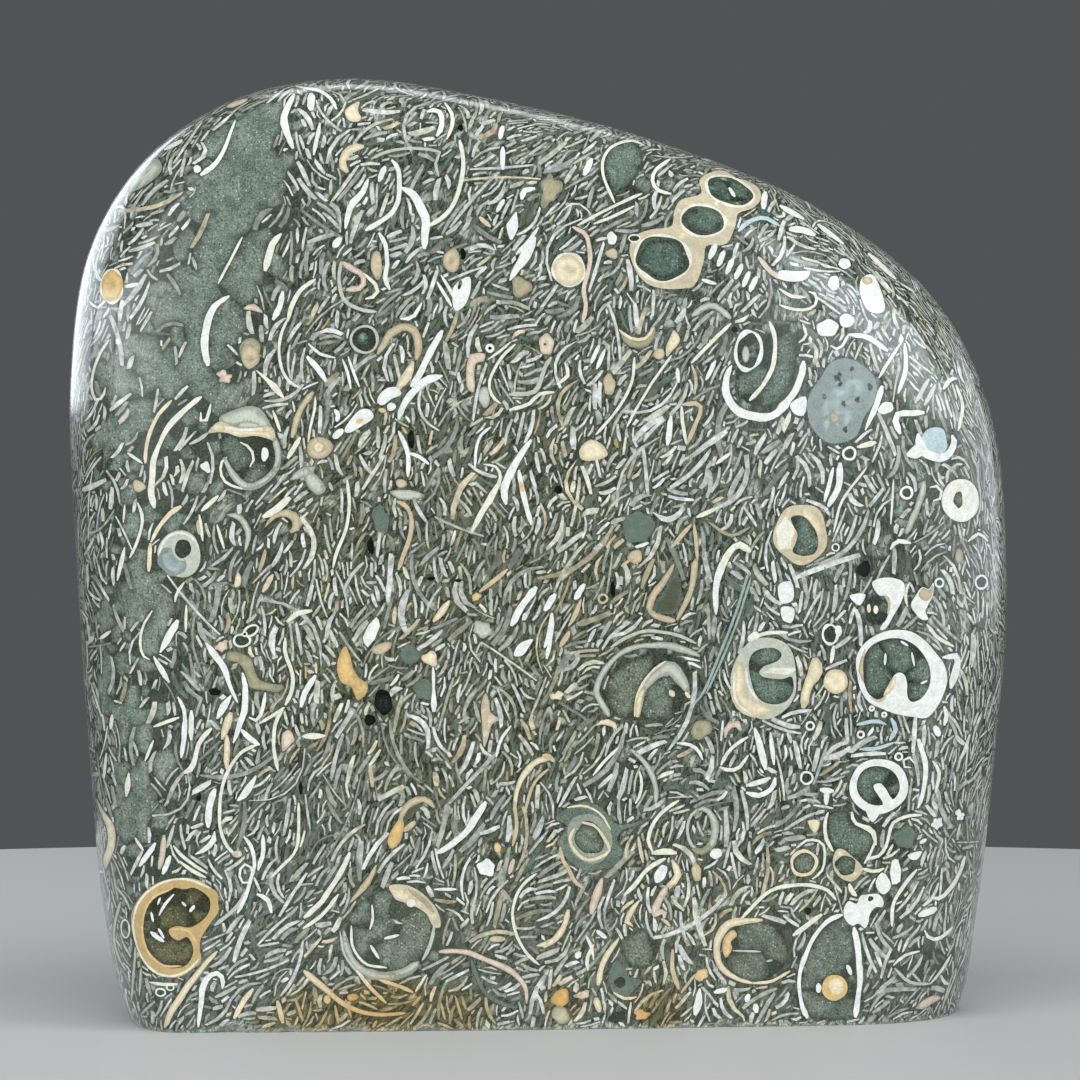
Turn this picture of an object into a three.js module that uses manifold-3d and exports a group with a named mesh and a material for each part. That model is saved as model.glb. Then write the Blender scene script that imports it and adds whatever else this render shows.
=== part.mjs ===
// A polished freeform of turritella agate: one thick, rounded slab of shell-filled stone that
// stands on a sawn flat base. Millimetres, +Z up, the broad polished face looks along -Y.
// The origin is at the middle of the base. Needs the npm packages three and manifold-3d.
import * as THREE from "three";
import { mergeVertices } from "three/addons/utils/BufferGeometryUtils.js";
import Module from "manifold-3d";

const WIDTH = 136; // widest, from the left edge to the right edge
const HEIGHT = 136; // from the sawn base to the crown
const FRONT_DEPTH = 20.3; // from the rim plane to the middle of the front face, at the base
const BACK_DEPTH = 20.5; // from the rim plane to the back face, at the base
const FRONT_TAPER = 3.5; // how much nearer the rim plane the front face is at the crown
const BACK_TAPER = 6.5; // the same for the back face, which leans more
const FRONT_LEAN = 3.9; // how much further back the front face is at the right than mid way
const FRONT_BOW = 2.5; // how much it also falls back at both sides, by the square of x
const DOME = 0.07; // share of a face's depth that is a gentle swell towards its middle
const EDGE_POWER = 2.15; // 2 is an elliptical edge round, more is squarer
const CENTRE_HEIGHT = 0.46; // height of the middle of the faces, as a share of HEIGHT

// The rim's outline seen from the front, as shares of WIDTH and HEIGHT, anticlockwise from the
// right-hand base corner. The last three points are in the part that the saw takes off.
const OUTLINE = [
  [0.447, 0.0],
  [0.469, 0.105],
  [0.49, 0.28],
  [0.5025, 0.45],
  [0.484, 0.645],
  [0.4215, 0.768],
  [0.3, 0.862],
  [0.128, 0.931],
  [-0.065, 0.979],
  [-0.21, 0.998],
  [-0.328, 0.976],
  [-0.424, 0.912],
  [-0.4825, 0.817],
  [-0.5035, 0.68],
  [-0.498, 0.5],
  [-0.4835, 0.28],
  [-0.4675, 0.11],
  [-0.4395, 0.0],
  [-0.36, -0.1],
  [0.0, -0.13],
  [0.37, -0.1],
];

// How far in from the rim the edge rounding reaches, in mm, by direction from the middle of the
// face: degrees anticlockwise from the right. The right-hand edge is rounded most.
const ROUNDING = [
  [0, 17],
  [35, 19],
  [75, 10],
  [125, 9],
  [180, 9.5],
  [235, 8],
  [270, 9],
  [315, 18],
  [360, 17],
];

// How far behind the rim plane the rim itself lies, in mm, by direction: the right-hand edge
// wanders back, so that the front face rolls over further there.
const SET_BACK = [
  [0, 6],
  [45, 4],
  [90, 0],
  [270, 0],
  [315, 6],
  [360, 6],
];

const RIM_STEPS = 132; // facets round the rim
const ROUND_STEPS = 9; // facets across the edge rounding, on each face
const FACE_RINGS = 5; // rings between the rounding and the middle of a face

// A saw cut leaves the slab's edge open to knocks: small flakes gone from the front and back
// base edge. x along the edge, the flake's half width and its height, in mm.
const CHIPS = [
  { x: -45.5, halfWidth: 2.6, height: 1.2, side: -1 },
  { x: -37, halfWidth: 1.6, height: 0.8, side: -1 },
  { x: -28, halfWidth: 2, height: 0.7, side: -1 },
  { x: 25, halfWidth: 1.8, height: 0.8, side: -1 },
  { x: -18, halfWidth: 1.5, height: 0.7, side: -1 },
  { x: -20, halfWidth: 3, height: 1.3, side: 1 },
  { x: 33, halfWidth: 2.2, height: 1, side: 1 },
];

function rimCurve() {
  const points = OUTLINE.map(
    ([x, z]) => new THREE.Vector3(x * WIDTH, 0, z * HEIGHT),
  );
  return new THREE.CatmullRomCurve3(points, true, "centripetal");
}

// The value of a list above in a direction given in degrees, by smooth steps between the
// listed ones.
function towards(list, degrees) {
  const angle = THREE.MathUtils.euclideanModulo(degrees, 360);
  const next = list.findIndex(([a]) => a > angle);
  const [a0, v0] = list[next - 1];
  const [a1, v1] = list[next];
  return v0 + (v1 - v0) * THREE.MathUtils.smoothstep(angle, a0, a1);
}

// Depth of a face at x and z, before its edge rounding.
function faceDepth(side, x, z) {
  const rise = Math.max(z, 0) / HEIGHT;
  const across = (2 * x) / WIDTH;
  if (side > 0) return BACK_DEPTH - BACK_TAPER * rise;
  const plan = FRONT_DEPTH - FRONT_LEAN * across - FRONT_BOW * across * across;
  return plan - FRONT_TAPER * rise;
}

// One ring of the slab: the rim drawn in towards the middle, and set forward or back. turn runs
// from 0 at the rim to a quarter turn where the rounding meets the face; inward goes on from
// there, from 0 to 1 at the middle of the face.
function ring(rim, centre, side, turn, inward) {
  return rim.map((edge) => {
    const out = new THREE.Vector3().subVectors(edge, centre);
    const degrees = THREE.MathUtils.radToDeg(Math.atan2(out.z, out.x));
    const reach = towards(ROUNDING, degrees) / out.length();
    const left = Math.pow(Math.cos(turn), 2 / EDGE_POWER);
    const rise = Math.pow(Math.sin(turn), 2 / EDGE_POWER);
    const share = (1 - reach + reach * left) * (1 - inward);
    const point = new THREE.Vector3()
      .copy(centre)
      .addScaledVector(out, share);
    const swell = 1 - DOME * share * share;
    point.y =
      side * faceDepth(side, point.x, point.z) * rise * swell +
      towards(SET_BACK, degrees) * (1 - rise);
    return point;
  });
}

// The whole rounded slab, before the saw: rings from the middle of the front face, out over the
// rim, to the middle of the back face, closed by one point at each end.
function roundedSlab() {
  const curve = rimCurve();
  const rim = curve.getSpacedPoints(RIM_STEPS).slice(0, RIM_STEPS);
  const centre = new THREE.Vector3(0, 0, CENTRE_HEIGHT * HEIGHT);
  const quarter = Math.PI / 2;
  const rings = [];
  for (const side of [-1, 1]) {
    const half = [];
    for (let i = 1; i < FACE_RINGS; i++)
      half.push(ring(rim, centre, side, quarter, 1 - i / FACE_RINGS));
    for (let i = ROUND_STEPS; i > 0; i--)
      half.push(ring(rim, centre, side, (quarter * i) / ROUND_STEPS, 0));
    if (side < 0) rings.push(...half, ring(rim, centre, side, 0, 0));
    else rings.push(...half.reverse());
  }
  const pole = (side) =>
    new THREE.Vector3(0, side * faceDepth(side, 0, centre.z), centre.z);
  const points = [pole(-1), ...rings.flat(), pole(1)];
  const at = (r, i) => 1 + r * RIM_STEPS + (i % RIM_STEPS);
  const faces = [];
  for (let i = 0; i < RIM_STEPS; i++) {
    faces.push(0, at(0, i), at(0, i + 1));
    for (let r = 0; r + 1 < rings.length; r++) {
      const [a, b] = [at(r, i), at(r, i + 1)];
      const [c, d] = [at(r + 1, i), at(r + 1, i + 1)];
      faces.push(a, c, d, a, d, b);
    }
    const last = rings.length - 1;
    faces.push(points.length - 1, at(last, i + 1), at(last, i));
  }
  const geometry = new THREE.BufferGeometry().setFromPoints(points);
  geometry.setIndex(faces);
  return geometry;
}

function solidOf(wasm, geometry) {
  const bare = geometry.clone();
  for (const name of ["normal", "uv"]) bare.deleteAttribute(name);
  const merged = mergeVertices(bare, 1e-4);
  return new wasm.Manifold(
    new wasm.Mesh({
      numProp: 3,
      vertProperties: merged.attributes.position.array,
      triVerts: new Uint32Array(merged.index.array),
    }),
  );
}

function geometryOf(solid) {
  const mesh = solid.getMesh();
  const geometry = new THREE.BufferGeometry();
  const positions = new THREE.BufferAttribute(mesh.vertProperties, 3);
  geometry.setAttribute("position", positions);
  geometry.setIndex(new THREE.BufferAttribute(mesh.triVerts, 1));
  geometry.computeVertexNormals();
  return geometry;
}

// Everything below z = 0, which the saw takes off.
function sawnOff() {
  const [wide, deep, tall] = [WIDTH * 2, WIDTH, HEIGHT];
  const block = new THREE.BoxGeometry(wide, deep, tall);
  return block.translate(0, 0, -tall / 2);
}

// A shallow scoop across the base edge, where a flake has broken away.
function flake({ x, halfWidth, height, side }) {
  const scoop = new THREE.SphereGeometry(1, 10, 6);
  scoop.scale(halfWidth, height * 1.2, height);
  return scoop.translate(x, side * faceDepth(side, x, 0) * (1 - DOME / 2), 0);
}

const wasm = await Module();
wasm.setup();

let stoneSolid = solidOf(wasm, roundedSlab()).subtract(
  solidOf(wasm, sawnOff()),
);
for (const chip of CHIPS)
  stoneSolid = stoneSolid.subtract(solidOf(wasm, flake(chip)));

// The origin is moved to the middle of the stone's length and thickness.
const { min, max } = stoneSolid.boundingBox();
const middle = [0, 1].map((axis) => (min[axis] + max[axis]) / 2);
stoneSolid = stoneSolid.translate([-middle[0], -middle[1], 0]);

const polishedStone = new THREE.MeshStandardMaterial({
  color: new THREE.Color(0.43, 0.45, 0.4),
  roughness: 0.18,
  metalness: 0,
});
const stone = new THREE.Mesh(geometryOf(stoneSolid), polishedStone);
stone.name = "turritella_stone";

const freeform = new THREE.Group();
freeform.add(stone);

export default freeform;
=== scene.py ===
import math

import bpy
import numpy as np
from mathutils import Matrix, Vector
from mathutils.kdtree import KDTree
from mathutils.geometry import delaunay_2d_cdt


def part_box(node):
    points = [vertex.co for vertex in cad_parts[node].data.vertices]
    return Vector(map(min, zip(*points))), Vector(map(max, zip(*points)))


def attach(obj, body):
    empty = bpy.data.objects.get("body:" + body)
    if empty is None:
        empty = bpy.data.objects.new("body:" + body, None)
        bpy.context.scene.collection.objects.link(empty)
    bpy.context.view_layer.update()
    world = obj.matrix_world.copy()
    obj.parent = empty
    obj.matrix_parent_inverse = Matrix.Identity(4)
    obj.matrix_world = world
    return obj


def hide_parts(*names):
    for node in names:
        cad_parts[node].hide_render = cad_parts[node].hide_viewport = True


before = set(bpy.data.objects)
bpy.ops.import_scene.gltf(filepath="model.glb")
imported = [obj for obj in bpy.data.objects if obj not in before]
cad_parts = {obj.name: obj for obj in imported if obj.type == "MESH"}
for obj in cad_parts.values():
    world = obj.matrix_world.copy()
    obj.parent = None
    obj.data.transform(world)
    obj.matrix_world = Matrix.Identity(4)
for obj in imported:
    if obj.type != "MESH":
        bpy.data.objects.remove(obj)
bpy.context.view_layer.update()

# ---------------------------------------------------------------- the slab
# One thick slab of shell-filled chalcedony, ground to a rounded freeform and sawn flat at the foot.
# Front, back and edge are one polished skin, worked out from the rim's outline. Lengths are in mm
# and turns in degrees anticlockwise from the right, about the middle of the faces.
MM = 0.001
WIDTH, HEIGHT = 136, 136
CENTRE = 0.46 * HEIGHT  # height of the middle of the faces
FRONT_DEPTH, FRONT_TAPER = 20.3, 3.5  # at the middle, and what it loses up to HEIGHT above that
FRONT_LEAN, FRONT_BOW = 3.9, 2.5  # what it loses to the right, and to both sides
BACK_DEPTH, BACK_TAPER = 20.5, 6.5
DOME = 0.07  # share of the depth that a face loses towards the rim
EDGE_POWER = 2.15  # of the superellipse that rounds the edge; 2 would be an ellipse
ROUND_ASPECT = 1.7  # how much deeper than wide the edge rounding is, when its length is worked out
FRONT, BACK = -1, 1

# The rim in shares of width and height, and by direction how wide the rounding of the edge is and
# how far the rim lies behind the middle.
OUTLINE = [
    (0.447, 0.0), (0.469, 0.105), (0.49, 0.28), (0.5025, 0.45), (0.484, 0.645), (0.4215, 0.768),
    (0.3, 0.862), (0.128, 0.931), (-0.065, 0.979), (-0.21, 0.998), (-0.328, 0.976),
    (-0.424, 0.912), (-0.4825, 0.817), (-0.5035, 0.68), (-0.498, 0.5), (-0.4835, 0.28),
    (-0.4675, 0.11), (-0.4395, 0.0), (-0.36, -0.1), (0.0, -0.13), (0.37, -0.1),
]
ROUNDING = [(0, 17), (35, 19), (75, 10), (125, 9), (180, 9.5), (235, 8), (270, 9), (315, 18),
            (360, 17)]
SET_BACK = [(0, 6), (45, 4), (90, 0), (270, 0), (315, 6), (360, 6)]


def smooth_line(points, steps, closed=False):
    """Centripetal Catmull-Rom: between two points, blends of the straight lines through them and
    their neighbours, with knots spaced by the square root of the distance."""
    p = np.asarray(points, float)
    p = np.vstack([p[-1:], p, p[:2]] if closed else [2 * p[:1] - p[1:2], p, 2 * p[-1:] - p[-2:-1]])
    p0, p1, p2, p3 = (p[i:len(p) - 3 + i, None] for i in range(4))

    def knot(u, v):
        return np.sqrt(np.linalg.norm(v - u, axis=2, keepdims=True)) + 1e-9

    t1 = knot(p0, p1)
    t2 = t1 + knot(p1, p2)
    t3 = t2 + knot(p2, p3)
    t = t1 + (t2 - t1) * np.linspace(0, 1, steps, endpoint=False)[None, :, None]
    a1 = ((t1 - t) * p0 + t * p1) / t1
    a2 = ((t2 - t) * p1 + (t - t1) * p2) / (t2 - t1)
    a3 = ((t3 - t) * p2 + (t - t2) * p3) / (t3 - t2)
    b1 = ((t2 - t) * a1 + t * a2) / t2
    b2 = ((t3 - t) * a2 + (t - t1) * a3) / (t3 - t1)
    line = (((t2 - t) * b1 + (t - t1) * b2) / (t2 - t1)).reshape(-1, p.shape[1])
    return line if closed else np.vstack([line, p[-2:-1]])


def towards(steps, turn):
    """The value of a list in a direction, by smooth steps 3t^2 - 2t^3 between the listed ones."""
    angle, value = np.array(steps, float).T
    turn = np.asarray(turn) % 360
    k = np.clip(np.searchsorted(angle, turn, side="right") - 1, 0, len(angle) - 2)
    t = (turn - angle[k]) / (angle[k + 1] - angle[k])
    return value[k] + (value[k + 1] - value[k]) * t * t * (3 - 2 * t)


rim = smooth_line(np.array(OUTLINE) * (WIDTH, HEIGHT), steps=60, closed=True) - (0, CENTRE)
rim = rim[np.argsort(np.arctan2(rim[:, 1], rim[:, 0]))]
rim_turn = np.degrees(np.arctan2(rim[:, 1], rim[:, 0]))
rim_radius = np.hypot(rim[:, 0], rim[:, 1])

# Quarter round of the edge, as a table: how far out across the rounding and how far forward, by
# the share of the way round from the face to the rim.
quarter = np.linspace(math.pi / 2, 0, 400)
round_left = np.abs(np.cos(quarter)) ** (2 / EDGE_POWER)
round_rise = np.sin(quarter) ** (2 / EDGE_POWER)
round_steps = np.hypot(np.diff(round_left), np.diff(round_rise) * ROUND_ASPECT)
round_way = np.concatenate([[0], np.cumsum(round_steps)])
ROUND_LENGTH = round_way[-1]  # in widths of the rounding
round_way = round_way / ROUND_LENGTH


def edge_at(turn):
    """Distance from the middle to the rim, and the reach of the edge rounding, in a direction."""
    return np.interp(turn, rim_turn, rim_radius, period=360), towards(ROUNDING, turn)


def depth_of(side, x, z):
    """Depth of a face before its rounding: the front falls back to the right and upwards."""
    rise, across = np.maximum(z, 0) / HEIGHT, 2 * x / WIDTH
    front = FRONT_DEPTH - FRONT_LEAN * across - FRONT_BOW * across**2 - FRONT_TAPER * rise
    return BACK_DEPTH - BACK_TAPER * rise if side == BACK else front


def skin(side, turn, out):
    """The polished skin. out is 0 in the middle of a face, 1 where the rounding starts and 2 at the
    rim. Depth is the face's, times a superellipse's rise, times a dome 1 - DOME share^2."""
    edge, reach = edge_at(turn)
    left = np.interp(out - 1, round_way, round_left)
    rise = np.interp(out - 1, round_way, round_rise)
    share = np.where(out <= 1, out * (1 - reach / edge), 1 - reach / edge * (1 - left))
    x = share * edge * np.cos(np.radians(turn))
    z = share * edge * np.sin(np.radians(turn)) + CENTRE
    y = side * depth_of(side, x, z) * rise * (1 - DOME * share**2)
    return np.stack([x, y + towards(SET_BACK, turn) * (1 - rise), z], -1)


def skin_normal(side, turn, out, near=0.02, near_turn=0.4):
    """Cross product of the skin's slopes outwards and round, each from two near points. Slopes are
    not taken right at the middle or the rim, where such points would fall together."""
    low, high = np.maximum(out - near, near), np.minimum(np.maximum(out, 2 * near) + near, 2)
    outwards = skin(side, turn, high) - skin(side, turn, low)
    outs = np.clip(out, 2 * near, 1.985)
    around = skin(side, turn + near_turn, outs) - skin(side, turn - near_turn, outs)
    normal = np.cross(outwards, around) * side * -1
    return normal / np.linalg.norm(normal, axis=-1, keepdims=True)


def out_of(turn, share):
    """The skin's out value for a share of the way from the middle to the rim, seen square on: in
    proportion up to the rounding, and from the table of the quarter round beyond."""
    edge, reach = edge_at(turn)
    left = np.clip((share * edge - (edge - reach)) / reach, 0, 1)
    rounded = 1 + np.interp(left, round_left, round_way)
    return np.where(share * edge <= edge - reach, share * edge / (edge - reach), rounded)


def unrolled(turn, out):
    """A spot's place on the unrolled skin: the face as it is, with its rounded edge laid flat round
    it, reach times ROUND_LENGTH wide. Shells laid out on this sheet keep their size over the edge."""
    edge, reach = edge_at(turn)
    way = np.where(out <= 1, out * (edge - reach), edge - reach + (out - 1) * reach * ROUND_LENGTH)
    turn = np.radians(turn)
    return np.stack([way * np.cos(turn), way * np.sin(turn) + CENTRE], -1)


def rolled(spots):
    """The turn and out values of spots on the unrolled skin: unrolled, solved for both."""
    x, z = spots[..., 0], spots[..., 1] - CENTRE
    turn, way = np.degrees(np.arctan2(z, x)), np.hypot(x, z)
    edge, reach = edge_at(turn)
    rounded = 1 + (way - (edge - reach)) / (reach * ROUND_LENGTH)
    return turn, np.where(way <= edge - reach, way / (edge - reach), rounded)


# The saw cut takes off all that lies below the base. Small flakes are gone from its two edges: the
# larger ones as x, half width and height, the rest scattered.
FLAKE_COUNT, FLAKE_REACH = 90, 60  # small ones, and how far from the middle they go
EDGE_ENDS, EDGE_FADE = 58, 3  # where the sawn edges end, and how long the flakes take to fade there
LEAST_FLAKE = 0.04  # high, so that the broken edge never has empty triangles
LARGE_FLAKES = {
    FRONT: [(-45.5, 2.6, 1.2), (-37, 1.6, 0.8), (-28, 2.0, 0.7), (25, 1.8, 0.8), (-18, 1.5, 0.7)],
    BACK: [(-20, 3.0, 1.3), (33, 2.2, 1.0)],
}


def flake_heights(side, x):
    """Height of the broken edge above the base: the highest of many caps h (1 - (x/w)^2)."""
    rng = np.random.default_rng(40 + side)
    small = np.stack([rng.uniform(-FLAKE_REACH, FLAKE_REACH, FLAKE_COUNT),
                      rng.uniform(0.4, 1.7, FLAKE_COUNT),
                      0.06 + 0.42 * rng.random(FLAKE_COUNT) ** 3], -1)
    at, half, height = np.vstack([small, LARGE_FLAKES[side]]).T
    caps = height * (1 - ((x[:, None] - at) / half) ** 2)
    ends = np.clip((EDGE_ENDS - np.abs(x)) / EDGE_FADE, 0, 1)
    return (np.maximum(caps.max(-1), 0) + LEAST_FLAKE) * ends


flake_x = np.linspace(-70, 70, 1401)
flake_table = {side: flake_heights(side, flake_x) for side in (FRONT, BACK)}


def flaked(side, x):
    """Height of the broken edge at x, read from the table."""
    return np.interp(x, flake_x, flake_table[side])


def out_limit(side, turn):
    """The largest out value that is left of the skin in a direction: the rim, or the sawn edge."""
    edge = edge_at(turn)[0]
    fall = np.maximum(-np.sin(np.radians(turn)), 1e-6)
    share = CENTRE / (fall * edge)
    x = np.cos(np.radians(turn)) * edge * np.minimum(share, 1)
    share = (CENTRE - flaked(side, x)) / (fall * edge)
    return np.where(share < 1, out_of(turn, np.minimum(share, 1)), 2.0)


# The corners where the rim meets the base, and points along the rim and along the foot between them.
QUARTER_STEPS = 900
fine_turn = np.linspace(-180, 180, 4 * QUARTER_STEPS + 1)
fine_height = CENTRE + edge_at(fine_turn)[0] * np.sin(np.radians(fine_turn))
low_left, low_right = slice(0, QUARTER_STEPS), slice(QUARTER_STEPS, 2 * QUARTER_STEPS)
corner_left = np.interp(0, -fine_height[low_left], fine_turn[low_left]) + 360
corner_right = np.interp(0, fine_height[low_right], fine_turn[low_right])
RIM_POINTS, FOOT_POINTS = 300, 240

dense = np.linspace(corner_right, corner_left, 4000)
dense_rim = skin(FRONT, dense, np.full(len(dense), 2.0))
dense_way = np.concatenate([[0], np.cumsum(np.linalg.norm(np.diff(dense_rim, axis=0), axis=1))])
rim_turns = np.interp(np.linspace(0, dense_way[-1], RIM_POINTS), dense_way, dense)
foot_x = np.linspace(*(skin(FRONT, np.array([t]), 2.0)[0, 0] for t in (corner_left, corner_right)),
                     FOOT_POINTS + 2)[1:-1]
foot_turns = np.degrees(np.arctan2(-CENTRE, foot_x)) + 360

# ---------------------------------------------------------------- shells large enough to tell apart
# Cut snails, clams and tubes: calcite walls, white to orange, round dark stone that once was mud.
# Each is a flat outline in the polished skin, laid out in mm from a plumb line near the middle.
SHELL, STONE = 0, 1  # which material a finish belongs to
# A finish's linear colour, and how far it fades into the stone towards its outline. A stone's colour
# is a multiple of plain stone, and its 1 means that it holds no slivers of shell.
FINISHES = {
    "white": (SHELL, (0.56, 0.565, 0.54), 0),
    "ivory": (SHELL, (0.55, 0.535, 0.45), 0),
    "cream": (SHELL, (0.54, 0.47, 0.325), 0.12),
    "amber": (SHELL, (0.48, 0.335, 0.135), 0.1),
    "tan": (SHELL, (0.40, 0.335, 0.22), 0.25),
    "orange": (SHELL, (0.49, 0.35, 0.17), 0.15),
    "pink": (SHELL, (0.47, 0.385, 0.30), 0.15),
    "grey": (SHELL, (0.36, 0.375, 0.31), 0.5),
    "green": (SHELL, (0.09, 0.125, 0.095), 0.6),
    "blue": (SHELL, (0.34, 0.42, 0.44), 0.4),
    "olive": (SHELL, (0.27, 0.245, 0.155), 0.35),
    "sandy": (SHELL, (0.235, 0.285, 0.275), 0.35),
    "brown": (SHELL, (0.06, 0.065, 0.042), 0.5),
    "mud": (STONE, (1.0, 1.0, 1.0), 1),
    "dark mud": (STONE, (0.84, 0.87, 0.85), 1),
    "deep mud": (STONE, (0.62, 0.70, 0.69), 1),
    "black": (STONE, (0.08, 0.11, 0.12), 1),
    "pale mud": (STONE, (1.45, 1.5, 1.42), 1),
    "stain": (STONE, (0.72, 0.56, 0.32), 1),
}
PLUMB, TURNED = -0.58, 0.052  # the plumb line's place, and how far it leans in per mm of depth
EDDY_FROM = 2.5  # mm, the smallest shell that turns the splinters round it

marks = {FRONT: [], BACK: []}  # (finish, outline on the skin, points along its middle), lowest first
eddies = {FRONT: [], BACK: []}  # middle and radius of round shells, which nearby splinters follow
side = FRONT  # the face that is being laid out
mark_rng = np.random.default_rng(7)


def laid(spots):
    """Spots set out square on, put on the unrolled skin: the share of the way out to the rim becomes
    an out value, and x moves by PLUMB + TURNED y for the depth y of the skin there. The depth found
    for one place moves it to the next, and three rounds settle it."""
    spots = np.asarray(spots, float)
    moved = spots.copy()
    for _ in range(3):
        turn = np.degrees(np.arctan2(moved[:, 1] - CENTRE, moved[:, 0]))
        share = np.hypot(moved[:, 0], moved[:, 1] - CENTRE) / edge_at(turn)[0]
        out = out_of(turn, np.minimum(share, 0.997))  # 1 would be on the rim itself
        moved[:, 0] = spots[:, 0] + PLUMB + TURNED * skin(FRONT, turn, out)[:, 1]
    return unrolled(turn, out)


def anticlockwise(outline):
    """The outline, turned round if its shoelace sum of x0 z1 - x1 z0 is negative."""
    after = np.roll(outline, -1, axis=0)
    area = (outline[:, 0] * after[:, 1] - after[:, 0] * outline[:, 1]).sum()
    return outline if area > 0 else outline[::-1]


def cut(finish, outline, core=()):
    """Adds an outline in a finish, with its core, points along its middle, if the finish fades. The
    front's are set out square on, the back's on the skin."""
    place = laid if side == FRONT else np.asarray
    kind, _, fade = FINISHES[finish]
    fades = len(core) and kind == SHELL and fade
    middle = place(core) if fades else np.zeros((0, 2))
    marks[side].append((finish, anticlockwise(place(outline)), middle))


def eddy(x, z, radius):
    """Notes a round shell, if it is large enough to turn the splinters."""
    if radius > EDDY_FROM:
        eddies[side].append((x, z, radius))


def ribbon(line, widths, tip=0.4):
    """Outline of a wall along a line, and points along its middle: half the width to each side of
    it, times a wobble, and down to the tip share over each end. Widths are spread evenly along the
    line. A point follows every 0.8 mm, and a wall under 0.75 mm has no middle."""
    way = np.concatenate([[0], np.cumsum(np.linalg.norm(np.diff(line, axis=0), axis=1))])
    count = int(np.clip(way[-1] / 0.8, 5, 44))
    at = np.linspace(0, way[-1], count)
    line = np.stack([np.interp(at, way, line[:, k]) for k in (0, 1)], -1)
    slope = np.gradient(line, axis=0)
    across = np.stack([-slope[:, 1], slope[:, 0]], -1)
    across /= np.linalg.norm(across, axis=1, keepdims=True)
    half = np.interp(at / way[-1], np.linspace(0, 1, len(widths)), widths) / 2
    ends = np.minimum(1, tip + np.minimum(at, way[-1] - at) / (0.9 * max(widths)))
    waves = [0.10 * np.sin(at * mark_rng.uniform(0.8, 2.2) + mark_rng.uniform(0, 6)) +
             0.07 * mark_rng.uniform(-1, 1, count) for _ in range(2)]
    left, right = (half * ends * (1 + wave) for wave in waves)
    outline = np.vstack([line + across * left[:, None], (line - across * right[:, None])[::-1]])
    spine = np.arange(max(widths) / 2, way[-1] - max(widths) / 3, max(widths) / 2.2)
    spine = np.stack([np.interp(spine, at, line[:, k]) for k in (0, 1)], -1)
    return outline, spine if max(widths) > 0.75 else ()


def arcs(finish, *rows):
    """Splinters or walls in one finish. A row is the width, or widths, and then x, z, x, z of a
    smooth line."""
    for width, *line in rows:
        widths = width if isinstance(width, tuple) else (width, width)
        cut(finish, *ribbon(smooth_line(np.reshape(line, (-1, 2)), 8), widths))


def ellipse(x, z, rx, rz, tilt, turns):
    """x + rx cos t, z + rz sin t, turned by the tilt."""
    t, a = np.radians(turns), math.radians(tilt)
    u, v = rx * np.cos(t), rz * np.sin(t)
    cos, sin = math.cos(a), math.sin(a)
    return np.stack([x + u * cos - v * sin, z + u * sin + v * cos], -1)


def disc(finish, x, z, rx, rz=None, tilt=0, wobble=0.07, core=True):
    """A round body: an ellipse whose radius wobbles by waves of 2, 3 and 5 to the turn. Its core is
    a ring of points 0.6 of the way out."""
    rz = rz or rx
    count = int(np.clip(9 * max(rx, rz) + 9, 12, 60))
    turns = np.arange(count) * 360 / count
    waves = (mark_rng.uniform(-1, 1) * np.cos(np.radians(turns) * k + k) for k in (2, 3, 5))
    outline = ellipse(0, 0, rx, rz, tilt, turns) * (1 + wobble * sum(waves))[:, None] + (x, z)
    cut(finish, outline, ellipse(x, z, rx * 0.6, rz * 0.6, tilt, turns[::2]) if core else ())


def ring(finish, filling, x, z, rx, rz, wall, tilt=0):
    """A closed shell wall round a filling."""
    disc(finish, x, z, rx, rz, tilt, wobble=0.03, core=False)
    disc(filling, x, z, rx - wall, rz - wall, tilt, wobble=0.05)
    eddy(x, z, max(rx, rz))


def hoop(finish, widths, x, z, rx, rz, start, end, tilt=0):
    """An open piece of a shell's wall, along an ellipse from one direction to another."""
    widths = widths if isinstance(widths, tuple) else (widths, widths)
    cut(finish, *ribbon(ellipse(x, z, rx, rz, tilt, np.linspace(start, end, 60)), widths))
    eddy(x, z, max(rx, rz))


def inside_outline(spots, outline):
    """Even-odd rule: a spot is inside if a ray from it crosses the outline an odd number of times."""
    x, z = spots[:, 0, None], spots[:, 1, None]
    x0, z0 = outline.T
    x1, z1 = np.roll(outline, -1, axis=0).T
    crosses = (z0 > z) != (z1 > z)
    at = x0 + (z - z0) * (x1 - x0) / np.where(z1 == z0, 1e-9, z1 - z0)
    return (crosses & (x < at)).sum(1) % 2 == 1


def patch(finish, *line, steps=4):
    """A closed, smooth outline through x, z, x, z. Its middle is where a fine grid of spots inside it
    is more than half as far from the outline as the farthest one."""
    outline = smooth_line(np.reshape(line, (-1, 2)), steps, closed=True)
    low, high = outline.min(0), outline.max(0)
    spacing = max(0.25, (high - low).min() / 7)
    rows = (np.arange(start, end, spacing) for start, end in zip(low, high))
    grid = np.stack(np.meshgrid(*rows), -1).reshape(-1, 2)
    grid = grid[inside_outline(grid, outline)]
    gap = np.linalg.norm(grid[:, None] - outline, axis=-1).min(1)
    cut(finish, outline, grid[gap > 0.5 * gap.max()])


# The front, region by region, in mm. A mark lies over the ones before it.

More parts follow.
